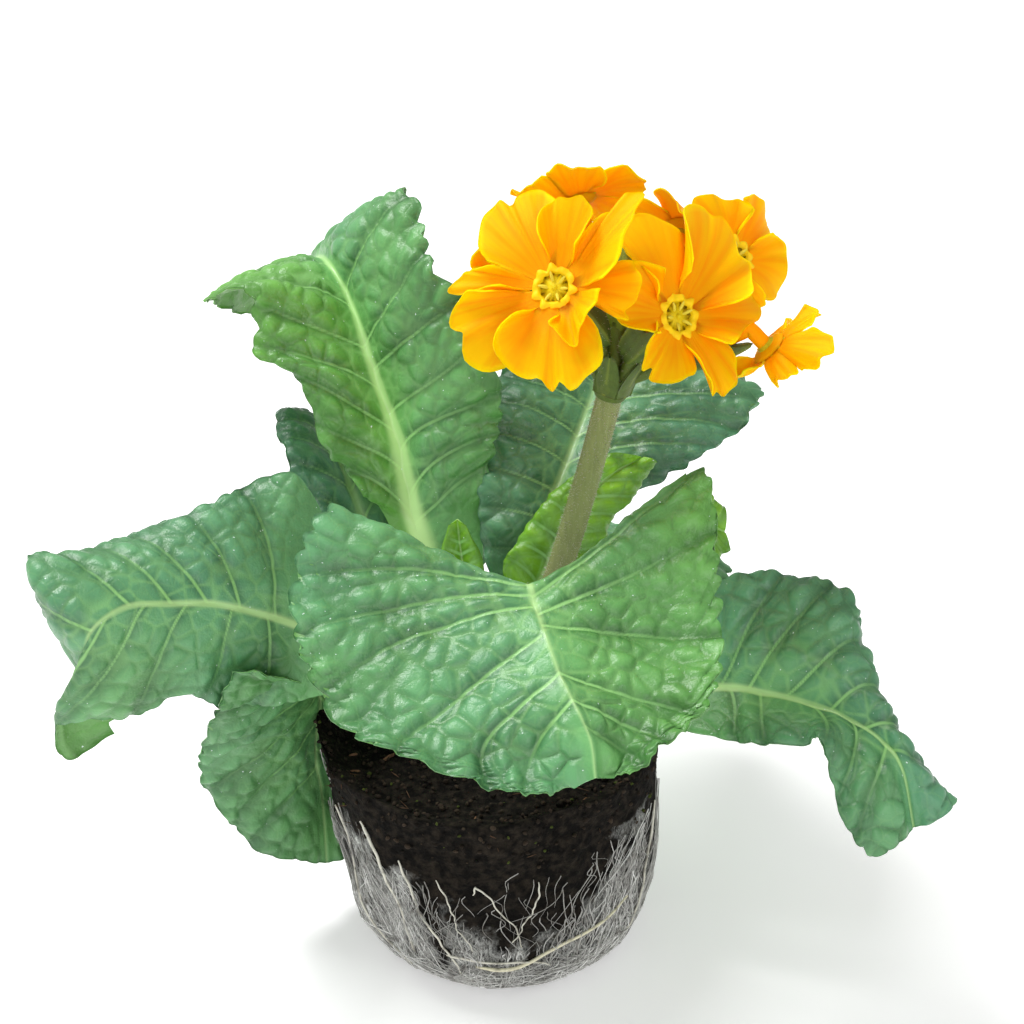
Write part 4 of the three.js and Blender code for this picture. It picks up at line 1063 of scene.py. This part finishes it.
# The stalk, with its fine hairs
def add_hairs(piece, rings, count, length, seed):
    """Fine three-sided hairs that stand out from a tube's surface."""
    random = np.random.default_rng(seed)
    centre = rings.mean(1)
    rows, sides = rings.shape[:2]
    i = random.integers(1, rows - 1, count)
    j = random.integers(0, sides, count)
    share = random.random((count, 1))
    foot = rings[i, j] * share + rings[i, (j + 1) % sides] * (1 - share)
    out = unit(foot - centre[i])
    way = out + 0.35 * random.normal(size=(count, 3))
    tip = foot + way * length * random.uniform(0.5, 1, (count, 1))
    side = unit(np.cross(out, UP)) * HAIR_RADIUS
    other = unit(np.cross(out, side)) * HAIR_RADIUS
    foot = foot - 0.1 * out
    points = np.stack([foot + side, foot - 0.5 * side + other, foot - 0.5 * side - other, tip], 1)
    k = 4 * np.arange(count)[:, None]
    faces = np.concatenate([k + [[0, 1, 3]], k + [[1, 2, 3]], k + [[2, 0, 3]], k + [[0, 2, 1]]])
    piece.add(points, [faces], 1)


def make_scape():
    share = np.linspace(0, 1, SCAPE_RINGS)
    path = spline(SCAPE, share)
    angle = circle(SCAPE_SIDES)[None]
    radius = SCAPE_RADIUS * (1.04 - 0.08 * share) + 0.7 * smooth((share - 0.95) / 0.05)
    flute = 0.06 * np.sin(5 * angle) + 0.05 * np.sin(8 * angle + 3 * share[:, None])
    rings = rings_of(path, radius[:, None] + flute, SCAPE_SIDES)
    piece = Piece()
    add_tube(piece, rings, height=smooth((share - 0.15) / 0.6)[:, None])
    add_hairs(piece, rings, SCAPE_HAIRS, 0.75, 41)
    stand_for(piece, "scape_stalk", [STALK, HAIR], "stalk", "scape")


# The flower head
def turned(profile, sides, steps, shape=None, lift=None):
    """Rings of a body of revolution about +Z, from (height, radius) pairs, smoothed to steps rings."""
    flat = [(height, radius, 0) for height, radius in profile]
    share = np.linspace(0, 1, steps)
    profile = spline(flat, share)
    angle = circle(sides)[None]
    share = share[:, None]
    radius = np.maximum(profile[:, 1:2], 0.01) * (shape(angle, share) if shape else 1)
    height = profile[:, :1] + (lift(angle, share) if lift else 0) + 0 * angle
    return np.stack([radius * np.cos(angle), radius * np.sin(angle), height], -1)


# Flowers. at: the centre of the face. facing: where it looks. size: its radius. reflex: how far the
# petals bend back. lean: the way, in degrees, in which they bend back further, and by how much. cup:
# the foot of the calyx. root: the way round the stalk's top to the flower's own stem. petals: for
# each petal, its lift in millimetres at the start and the end of its margin, and that margin as
# angles in degrees and reaches, 1 for the size. turn: the angle of the first petal of a flower that
# has plain ones instead.
FLOWERS = [
    {"name": "flower_front", "at": (11, -17, 179), "facing": (-0.3, -0.76, 0.56), "size": 24,
     "reflex": 0.2, "lean": (0, -2.5), "cup": (20, -5, 164), "root": 255,
     "petals": [
         (0.0, -2.0, [(168, 0.66), (157, 0.86), (145, 1.0), (135, 1.05), (130.5, 0.93), (125, 1.0),
          (117, 0.99), (107, 0.93), (96, 0.7)]),
         (2.5, 1.5, [(109, 0.35), (112, 0.55), (106, 0.71), (98, 0.79), (89, 0.82), (80, 0.81), (71, 0.75),
          (66, 0.6), (62, 0.4)]),
         (0.0, 3.5, [(67, 0.45), (67, 0.72), (61, 0.84), (63, 1.0), (60, 1.08), (54, 1.1), (49, 0.98),
          (42, 0.82), (26, 0.68), (8, 0.55)]),
         (-1.0, -1.0, [(31, 0.5), (27, 0.72), (19, 0.79), (8, 0.81), (-4, 0.79), (-11, 0.72), (-16, 0.75),
          (-17, 0.6), (-12, 0.42)]),
         (1.5, 4.5, [(0, 0.5), (-16, 0.5), (-34, 0.5), (-47, 0.57), (-56, 0.64), (-64, 0.51), (-71, 0.4),
          (-64, 0.32)]),
         (3.0, -1.0, [(238, 0.34), (233, 0.55), (240, 0.74), (254, 0.83), (267, 0.88), (275, 0.83),
          (281, 0.92), (287, 0.88), (293, 0.98), (304, 0.89), (316, 0.81), (326, 0.62), (331, 0.4)]),
         (3.5, -1.5, [(198, 0.5), (194, 0.74), (198, 0.87), (203, 0.97), (210, 1.0), (218, 0.93),
          (228, 1.02), (238, 0.97), (246, 0.85), (252, 0.6)]),
         (0.0, 2.5, [(168, 0.5), (176, 0.74), (182, 0.9), (189, 0.98), (193, 0.86), (191, 0.66),
          (194, 0.42)]),
     ]},
    {"name": "flower_front_right", "at": (38, -16, 172), "facing": (0.5, -0.74, 0.45), "size": 22,
     "reflex": 0.2, "lean": (165, 8), "cup": (30, -6, 161), "root": 305,
     "petals": [
         (3.0, -1.0, [(136, 0.38), (124, 0.58), (118, 0.82), (110, 1.02), (98, 1.06), (82, 0.98),
          (68, 0.86), (64, 0.62), (72, 0.38)]),
         (1.0, 2.5, [(74, 0.4), (70, 0.95), (63, 1.15), (52, 1.3), (45, 1.22), (40, 1.3), (31, 1.2),
          (25, 1.06), (17, 1.1), (10, 0.94), (2, 0.75), (-1, 0.5)]),
         (-1.0, 2.0, [(20, 0.6), (12, 0.97), (4, 1.08), (-4, 1.12), (-13, 1.06), (-17, 0.86), (-24, 0.7),
          (-36, 0.62), (-48, 0.52), (-52, 0.36)]),
         (-1.5, 2.0, [(-28, 0.45), (-38, 0.76), (-49, 0.89), (-60, 0.94), (-69, 0.93), (-76, 0.83),
          (-81, 0.85), (-84, 0.7), (-88, 0.5), (-96, 0.32)]),
         (-1.5, 3.0, [(-80, 0.38), (-89, 0.56), (-105, 0.63), (-121, 0.7), (-133, 0.7), (-138, 0.64),
          (-145, 0.7), (-156, 0.58), (-168, 0.44), (-182, 0.34)]),
         (1.5, 3.5, [(198, 0.36), (186, 0.52), (172, 0.66), (158, 0.74), (142, 0.78), (124, 0.76),
          (112, 0.5)]),
     ]},
    {"name": "flower_back_right", "at": (52.3, 6, 177.5), "facing": (0.62, -0.55, 0.55), "size": 16,
     "reflex": 0.16, "lean": (190, 4), "cup": (38, 6, 167), "root": 48,
     "petals": [
         (3.0, -1.0, [(58, 0.4), (52, 0.7), (54, 0.9), (45, 1.0), (35, 1.16), (25, 1.24), (14, 1.22),
          (4, 1.05), (-2, 0.8), (2, 0.45)]),
         (2.0, -1.0, [(14, 0.45), (4, 0.8), (-9, 0.95), (-23, 0.99), (-40, 0.96), (-60, 0.88), (-75, 0.7),
          (-80, 0.4)]),
         (0.0, 2.0, [(128, 0.4), (120, 0.85), (106, 1.02), (88, 0.93), (74, 0.84), (60, 0.8), (52, 0.6),
          (56, 0.35)]),
         (0.0, 0.0, [(205, 0.35), (196, 0.7), (180, 0.85), (160, 0.85), (142, 0.7), (130, 0.4)]),
         (0.0, 0.0, [(285, 0.35), (276, 0.7), (258, 0.82), (236, 0.82), (216, 0.7), (206, 0.4)]),
     ]},
    {"name": "flower_right", "at": (59.5, -5.5, 160), "facing": (0.72, 0, -0.69), "size": 15.5,
     "reflex": -0.2, "lean": (90, 4), "cup": (43, -5, 159), "root": 356,
     "petals": [
         (0.0, 0.0, [(60, 0.45), (66, 0.75), (77, 0.87), (88, 0.83), (99, 0.86), (110, 0.7), (113, 0.4)]),
         (0.0, 2.0, [(110, 0.45), (115, 0.8), (127, 1.05), (141, 1.2), (153, 1.12), (160, 0.8),
          (161, 0.45)]),
         (1.0, 1.0, [(158, 0.4), (164, 0.66), (178, 0.74), (192, 0.7), (204, 0.55), (208, 0.35)]),
         (-5.0, -6.0, [(222, 0.4), (236, 0.64), (254, 0.74), (272, 0.72), (288, 0.6), (300, 0.4)]),
         (0.0, 0.0, [(-32, 0.4), (-16, 0.7), (4, 0.8), (24, 0.8), (40, 0.65), (50, 0.4)]),
     ]},
    {"name": "flower_back", "at": (42, 28, 176), "facing": (0.35, 0.85, 0.4), "size": 14, "turn": 20,
     "reflex": 0.24, "lean": (150, 8), "cup": (31, 11, 167), "root": 100},
    {"name": "flower_back_left", "at": (17, 18, 187), "facing": (-0.25, 0.6, 0.75), "size": 17,
     "reflex": 0.1, "lean": (180, 2), "cup": (22, 7, 169), "root": 152,
     "petals": [
         (5.0, 0.0, [(-36, 0.4), (-28, 0.7), (-14, 0.85), (-3, 0.88), (4, 0.82), (16, 0.8), (30, 0.78),
          (42, 0.68), (46, 0.4)]),
         (2.5, -1.0, [(36, 0.4), (42, 0.78), (56, 0.95), (66, 1.0), (76, 0.88), (90, 0.9), (102, 0.72),
          (106, 0.4)]),
         (0.0, -1.5, [(100, 0.4), (106, 0.75), (120, 0.92), (136, 0.98), (150, 0.88), (166, 0.9),
          (178, 0.7), (180, 0.4)]),
         (-0.5, -1.0, [(176, 0.4), (184, 0.75), (200, 0.95), (218, 0.9), (234, 0.92), (248, 0.7),
          (250, 0.4)]),
         (0.0, 2.0, [(246, 0.4), (254, 0.75), (270, 0.95), (288, 0.9), (304, 0.92), (318, 0.7),
          (320, 0.4)]),
     ]},
    {"name": "flower_left", "at": (-1, 12, 168), "facing": (-0.8, 0.55, 0.1), "size": 17, "turn": 5,
     "reflex": 0.24, "lean": (0, 0), "cup": (15, 3, 165), "root": 204},
]
PETAL_MARGIN = [
    (-42, 0.45), (-38, 0.76), (-27, 0.95), (-14, 1.0), (-5, 0.93), (1, 0.84), (8, 0.94), (17, 1.0),
    (28, 0.93), (37, 0.74), (42, 0.45),
]


def margins(flower):
    """The margin of each petal: its own, or the plain one turned round."""
    if "petals" in flower:
        return flower["petals"]
    plain = []
    for k in range(PETALS):
        turn = flower["turn"] + 360 / PETALS * k
        size = 1 + 0.05 * math.sin(2.3 * k + flower["turn"])
        plain.append((1.3, -1.3, [(turn + angle, reach * size) for angle, reach in PETAL_MARGIN]))
    return plain


def petal_grid(flower, petal, seed):
    """The middle surface of one petal, in the flower's own frame, and the values of its points."""
    first, last, margin = petal
    a = np.linspace(0, 1, PETAL_ROWS)[:, None]
    b = np.linspace(0, 1, PETAL_COLUMNS)
    line = spline([(math.radians(angle), reach, 0) for angle, reach in margin], b)
    size = flower["size"]
    middle = np.radians((margin[0][0] + margin[-1][0]) / 2)
    start = middle + np.clip(line[0, 0] - middle, -0.6, 0.6) * (1 - 2 * b)
    foot = THROAT * np.stack([np.cos(start), np.sin(start)], -1)
    frill = 1 + 0.014 * np.sin(34 * b + seed) + 0.02 * np.sin(19 * b + 2.3 * seed)
    rim = size * (line[:, 1] * frill)[:, None] * np.stack([np.cos(line[:, 0]), np.sin(line[:, 0])], -1)
    flat = foot[None] + (rim - foot)[None] * a[..., None]
    x, y = flat[..., 0], flat[..., 1]
    reach = np.hypot(x, y)
    far = reach / size
    opening = smooth((reach - 4.5) / 6)
    toward, amount = flower["lean"]
    swept = amount * np.maximum(0, np.cos(np.arctan2(y, x) - math.radians(toward))) * far**2
    lift = first + (last - first) * smooth(b)
    fold = 0.8 * np.sin(2.2 * np.pi * b + 1.7 * seed) * a**1.5
    ruffle = a**3 * (0.7 * np.sin(13 * b + seed) + 0.4 * np.sin(29 * b + 1.7 * seed))
    furrow = 0.07 * a * np.sin(70 * b + 3 * np.sin(9 * b))
    rise = 0.12 * size * a - flower["reflex"] * size * far**3 - swept + lift * a**2 + fold + ruffle
    rise = rise + 0.9 * np.abs(2 * b - 1) ** 3 * a * np.sign(lift)
    grid = np.stack([x, y, opening * (rise + furrow) - 0.2], -1)
    values = {
        "across": 0.42 * size * b + 0 * a,
        "reach": 0.4 * a + 0 * b,
        "petal": 3.0 * seed + 0 * a * b,
        "edge": np.clip(a**1.6 * (0.8 + 0.2 * np.abs(2 * b - 1)), 0, 1),
    }
    return grid, values


def face_of(flower):
    """The axes and the place of a flower's face."""
    return frame_axes(flower["facing"], flower["at"])


def cup_axis(flower):
    """The foot of the calyx, and the way from there to the throat."""
    foot = np.array(flower["cup"], float)
    throat = placed(np.array([0.0, 0.0, -THROAT_DEPTH]), face_of(flower))
    return foot, unit(throat - foot)


def make_corolla(flower, seed):
    where = face_of(flower)
    piece = Piece()
    for k, petal in enumerate(margins(flower)):
        grid, values = petal_grid(flower, petal, seed + k)
        thicken(piece, placed(grid, where), PETAL_THICK, coarse=2, **values)
    foot, along = cup_axis(flower)
    behind = [placed(np.array([0.0, 0.0, z]), where) for z in (-0.6, -3, -THROAT_DEPTH)]
    share = np.linspace(0, 1, TUBE_RINGS)
    path = spline(behind + [foot + along * CALYX_LENGTH, foot + 2 * along], share)
    radius = THROAT_TUBE_RADIUS + 2.6 * (1 - smooth(share / 0.16))
    tube = rings_of(path, radius, TUBE_SIDES)
    add_tube(piece, tube, edge=0.35, reach=share[:, None], across=0.2, petal=1.0)
    stand_for(piece, flower["name"] + "_petals", [PETAL], "petal", flower["name"] + "_corolla")


def make_eye(flower, seed):
    """A low scalloped ring round the throat, a funnel into it, and the anthers there."""
    where = face_of(flower)
    piece = Piece()
    funnel = [(-3.8, 0.8), (-2, 2.0), (-0.7, 2.9), (0.2, THROAT)]
    ring = [(0.45, 3.9), (0.25, 4.6), (-0.05, 4.8), (-0.4, 3.8)]

    def lobes(angle, share):
        wave = 0.05 * np.cos(10 * angle + seed) + 0.06 * np.cos(7 * angle + 2 * seed)
        return 1 + smooth((share - 0.35) / 0.3) * (wave + 0.04 * np.cos(13 * angle - seed))

    def waves(angle, share):
        return 0.3 * smooth((share - 0.3) / 0.3) * np.cos(10 * angle + seed)

    rings = turned(funnel + ring, EYE_SIDES, EYE_RINGS, lobes, waves)
    depth = np.clip((0.3 - rings[..., 2]) / 1.8, 0, 1)
    add_tube(piece, placed(rings, where), depth=depth)
    share = np.linspace(0, 1, ANTHER_RINGS)
    for k in range(ANTHERS):
        turn = 2 * np.pi * (k + 0.2 * math.sin(5.1 * k + seed)) / ANTHERS
        way = np.array([math.cos(turn), math.sin(turn), 0])
        path = way * (0.9 + 2.5 * share[:, None])
        path[:, 2] = -1.3 + 1.9 * share + 0.3 * np.sin(np.pi * share)
        radius = ANTHER_RADIUS * np.sqrt(np.clip(np.sin(np.pi * np.clip(share, 0.04, 0.97)), 0.01, 1))
        add_tube(piece, placed(rings_of(path, radius, ANTHER_SIDES), where), 1)
    stigma = LUMP * STIGMA_RADIUS + [0.1, 0.0, -0.3]
    piece.add(placed(stigma, where), [LUMP_FACES], 0, depth=0.6)
    stand_for(piece, flower["name"] + "_ring", [EYE, ANTHER], "eye", flower["name"] + "_eye")


def add_stem(piece, start, foot, along, width, growth, **values):
    """A flower's own little stem, from the stalk's top into the foot of its cup."""
    share = np.linspace(0, 1, STEM_RINGS)
    path = spline([start, (start + foot) / 2, foot, foot + along], share)
    stem = rings_of(path, PEDICEL_RADIUS * (width + growth * share), STEM_SIDES)
    add_tube(piece, stem, **values)
    return stem


def make_calyx(flower, seed):
    """A five-ribbed cup with five points, on its stem, both with fine hairs."""
    foot, along = cup_axis(flower)
    where = frame_axes(along, foot)
    piece = Piece()
    rim = CALYX_LENGTH - 2
    outside = [(-5, 1.8), (-3, 3.1), (0, 4.1), (4, 4.5), (rim, 4.2)]
    inside = [(rim + 0.2, 3.4), (6, 2.6), (2, 1.8)]

    def ribs(angle, share):
        return 1 + 0.11 * np.cos(5 * angle) ** 3 * smooth(share / 0.1)

    def points(angle, share):
        inner = smooth((share - 0.3) / 0.25) * (1 - smooth((share - 0.72) / 0.2))
        return inner * (2.1 * np.cos(5 * angle) + 0.4 * np.cos(10 * angle))

    rings = turned(outside + inside, CALYX_SIDES, CALYX_RINGS, ribs, points)
    rib = 0.6 * np.clip(np.cos(5 * circle(CALYX_SIDES)), 0, 1) ** 8
    add_tube(piece, placed(rings, where), rib=rib)
    add_hairs(piece, placed(rings[:CALYX_OUTER_RINGS], where), CUP_HAIRS, 0.5, seed)
    way = math.radians(flower["root"])
    start = HEAD + [PEDICEL_START * math.cos(way), PEDICEL_START * math.sin(way), 0.2]
    stem = add_stem(piece, start, foot, along, 1.7, 0.6, rib=0.15)
    add_hairs(piece, stem, STEM_HAIRS, 0.6, seed + 1)
    stand_for(piece, flower["name"] + "_cup", [SEPAL, HAIR], "sepal", flower["name"] + "_calyx")


def make_bracts():
    """A collar of small pointed blades round the top of the stalk."""
    along = unit(HEAD - np.array(SCAPE[-2], float))
    where = frame_axes(along, HEAD)
    piece = Piece()
    profile = [(-4, 3.4), (-3, 3.9), (-1, 4.4), (1.5, 4.6), (1.2, 3.6), (-3.6, 3.2)]
    collar = turned(profile, COLLAR_SIDES, COLLAR_RINGS)
    add_tube(piece, placed(collar, where), rib=0.1)
    s = np.linspace(0, 1, BRACT_ROWS)[:, None]
    t = np.linspace(-1, 1, BRACT_COLUMNS)[None]
    for angle in np.radians(BRACT_ANGLES):
        width = 2.9 * np.sqrt(1 - s**2.4) + 0.08
        reach = 3.9 + 2.8 * s**1.5 - 0.5 * t**2
        height = -2.5 + 10.5 * s
        x = reach * np.cos(angle) - width * t * np.sin(angle)
        y = reach * np.sin(angle) + width * t * np.cos(angle)
        grid = placed(np.stack([x, y, height + 0 * t], -1), where)
        thicken(piece, grid, BRACT_THICK, coarse=1, rib=0.6 * np.exp(-((t / 0.12) ** 2)) + 0 * s)
    stand_for(piece, "bracts_collar", [SEPAL], "sepal", "bracts")


def make_bud():
    """A closed bud with five ribs, on its stem."""
    along = unit(BUD_TIP - BUD_FOOT)
    where = frame_axes(along, BUD_FOOT)
    piece = Piece()
    profile = [(-1, 2.4), (2, 3.0), (7, 3.4), (12, 2.9), (16, 1.5), (18.4, 0.3)]
    rings = turned(profile, BUD_SIDES, BUD_RINGS, lambda a, s: 1 + 0.09 * np.cos(5 * a) ** 3)
    rib = 0.8 * np.clip(np.cos(5 * circle(BUD_SIDES)), 0, 1) ** 6
    add_tube(piece, placed(rings, where), rib=rib, young=1.0)
    add_stem(piece, HEAD, BUD_FOOT, along, 2.2, 0.8, rib=0.25, young=0.3)
    add_hairs(piece, placed(rings, where), CUP_HAIRS, 0.5, 77)
    stand_for(piece, "bud_body", [SEPAL, HAIR], "sepal", "flower_bud")


make_scape()
make_bracts()
make_bud()
for number, flower in enumerate(FLOWERS):
    make_corolla(flower, 7 * number)
    make_eye(flower, number)
    make_calyx(flower, 50 + 2 * number)

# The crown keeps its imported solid, with a better material
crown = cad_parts["crown"]
crown.data.materials.clear()
crown.data.materials.append(crown_look())

# The floor, the light and the camera
FLOOR_SIZE = 12
FLOOR_GAP = 0.0002
WORLD_LIGHT = 0.55
AIM = (0, 0, 0.1)
bpy.ops.mesh.primitive_plane_add(size=FLOOR_SIZE, location=(0, 0, -FLOOR_GAP))
floor = bpy.context.object
floor.name = "floor"
floor.data.materials.append(floor_look())

world = bpy.data.worlds.new("studio")
world.use_nodes = True
background = world.node_tree.nodes["Background"]
background.inputs["Color"].default_value = (1, 1, 1, 1)
background.inputs["Strength"].default_value = WORLD_LIGHT
bpy.context.scene.world = world


def add_light(name, at, size, power):
    """A square lamp, in metres and watts, that shines at the middle of the plant."""
    light = bpy.data.lights.new(name, "AREA")
    light.size = size
    light.energy = power
    lamp = bpy.data.objects.new(name, light)
    lamp.location = at
    way = np.array(at) - np.array(AIM)
    lamp.rotation_euler = (math.atan2(math.hypot(way[0], way[1]), way[2]), 0, math.atan2(way[0], -way[1]))
    bpy.context.scene.collection.objects.link(lamp)


add_light("key", (-0.8, 0.35, 1.7), 0.8, 34.0)
add_light("fill", (0.4, -1.5, 0.7), 0.8, 7.0)

# The camera, at a place in millimetres, looks to +Y and down
CAMERA_AT = (2.173, -421.739, 331.636)
CAMERA_PITCH = 27
FOCAL_PIXELS = 2025
PICTURE = 1024
SENSOR = 36
camera_data = bpy.data.cameras.new("camera")
camera_data.sensor_width = SENSOR
camera_data.lens = SENSOR * FOCAL_PIXELS / PICTURE
camera_data.clip_start = 0.01
camera = bpy.data.objects.new("camera", camera_data)
camera.location = [MM * v for v in CAMERA_AT]
camera.rotation_euler = (math.radians(90 - CAMERA_PITCH), 0, 0)
bpy.context.scene.collection.objects.link(camera)
bpy.context.scene.camera = camera
bpy.context.scene.view_settings.view_transform = "Standard"
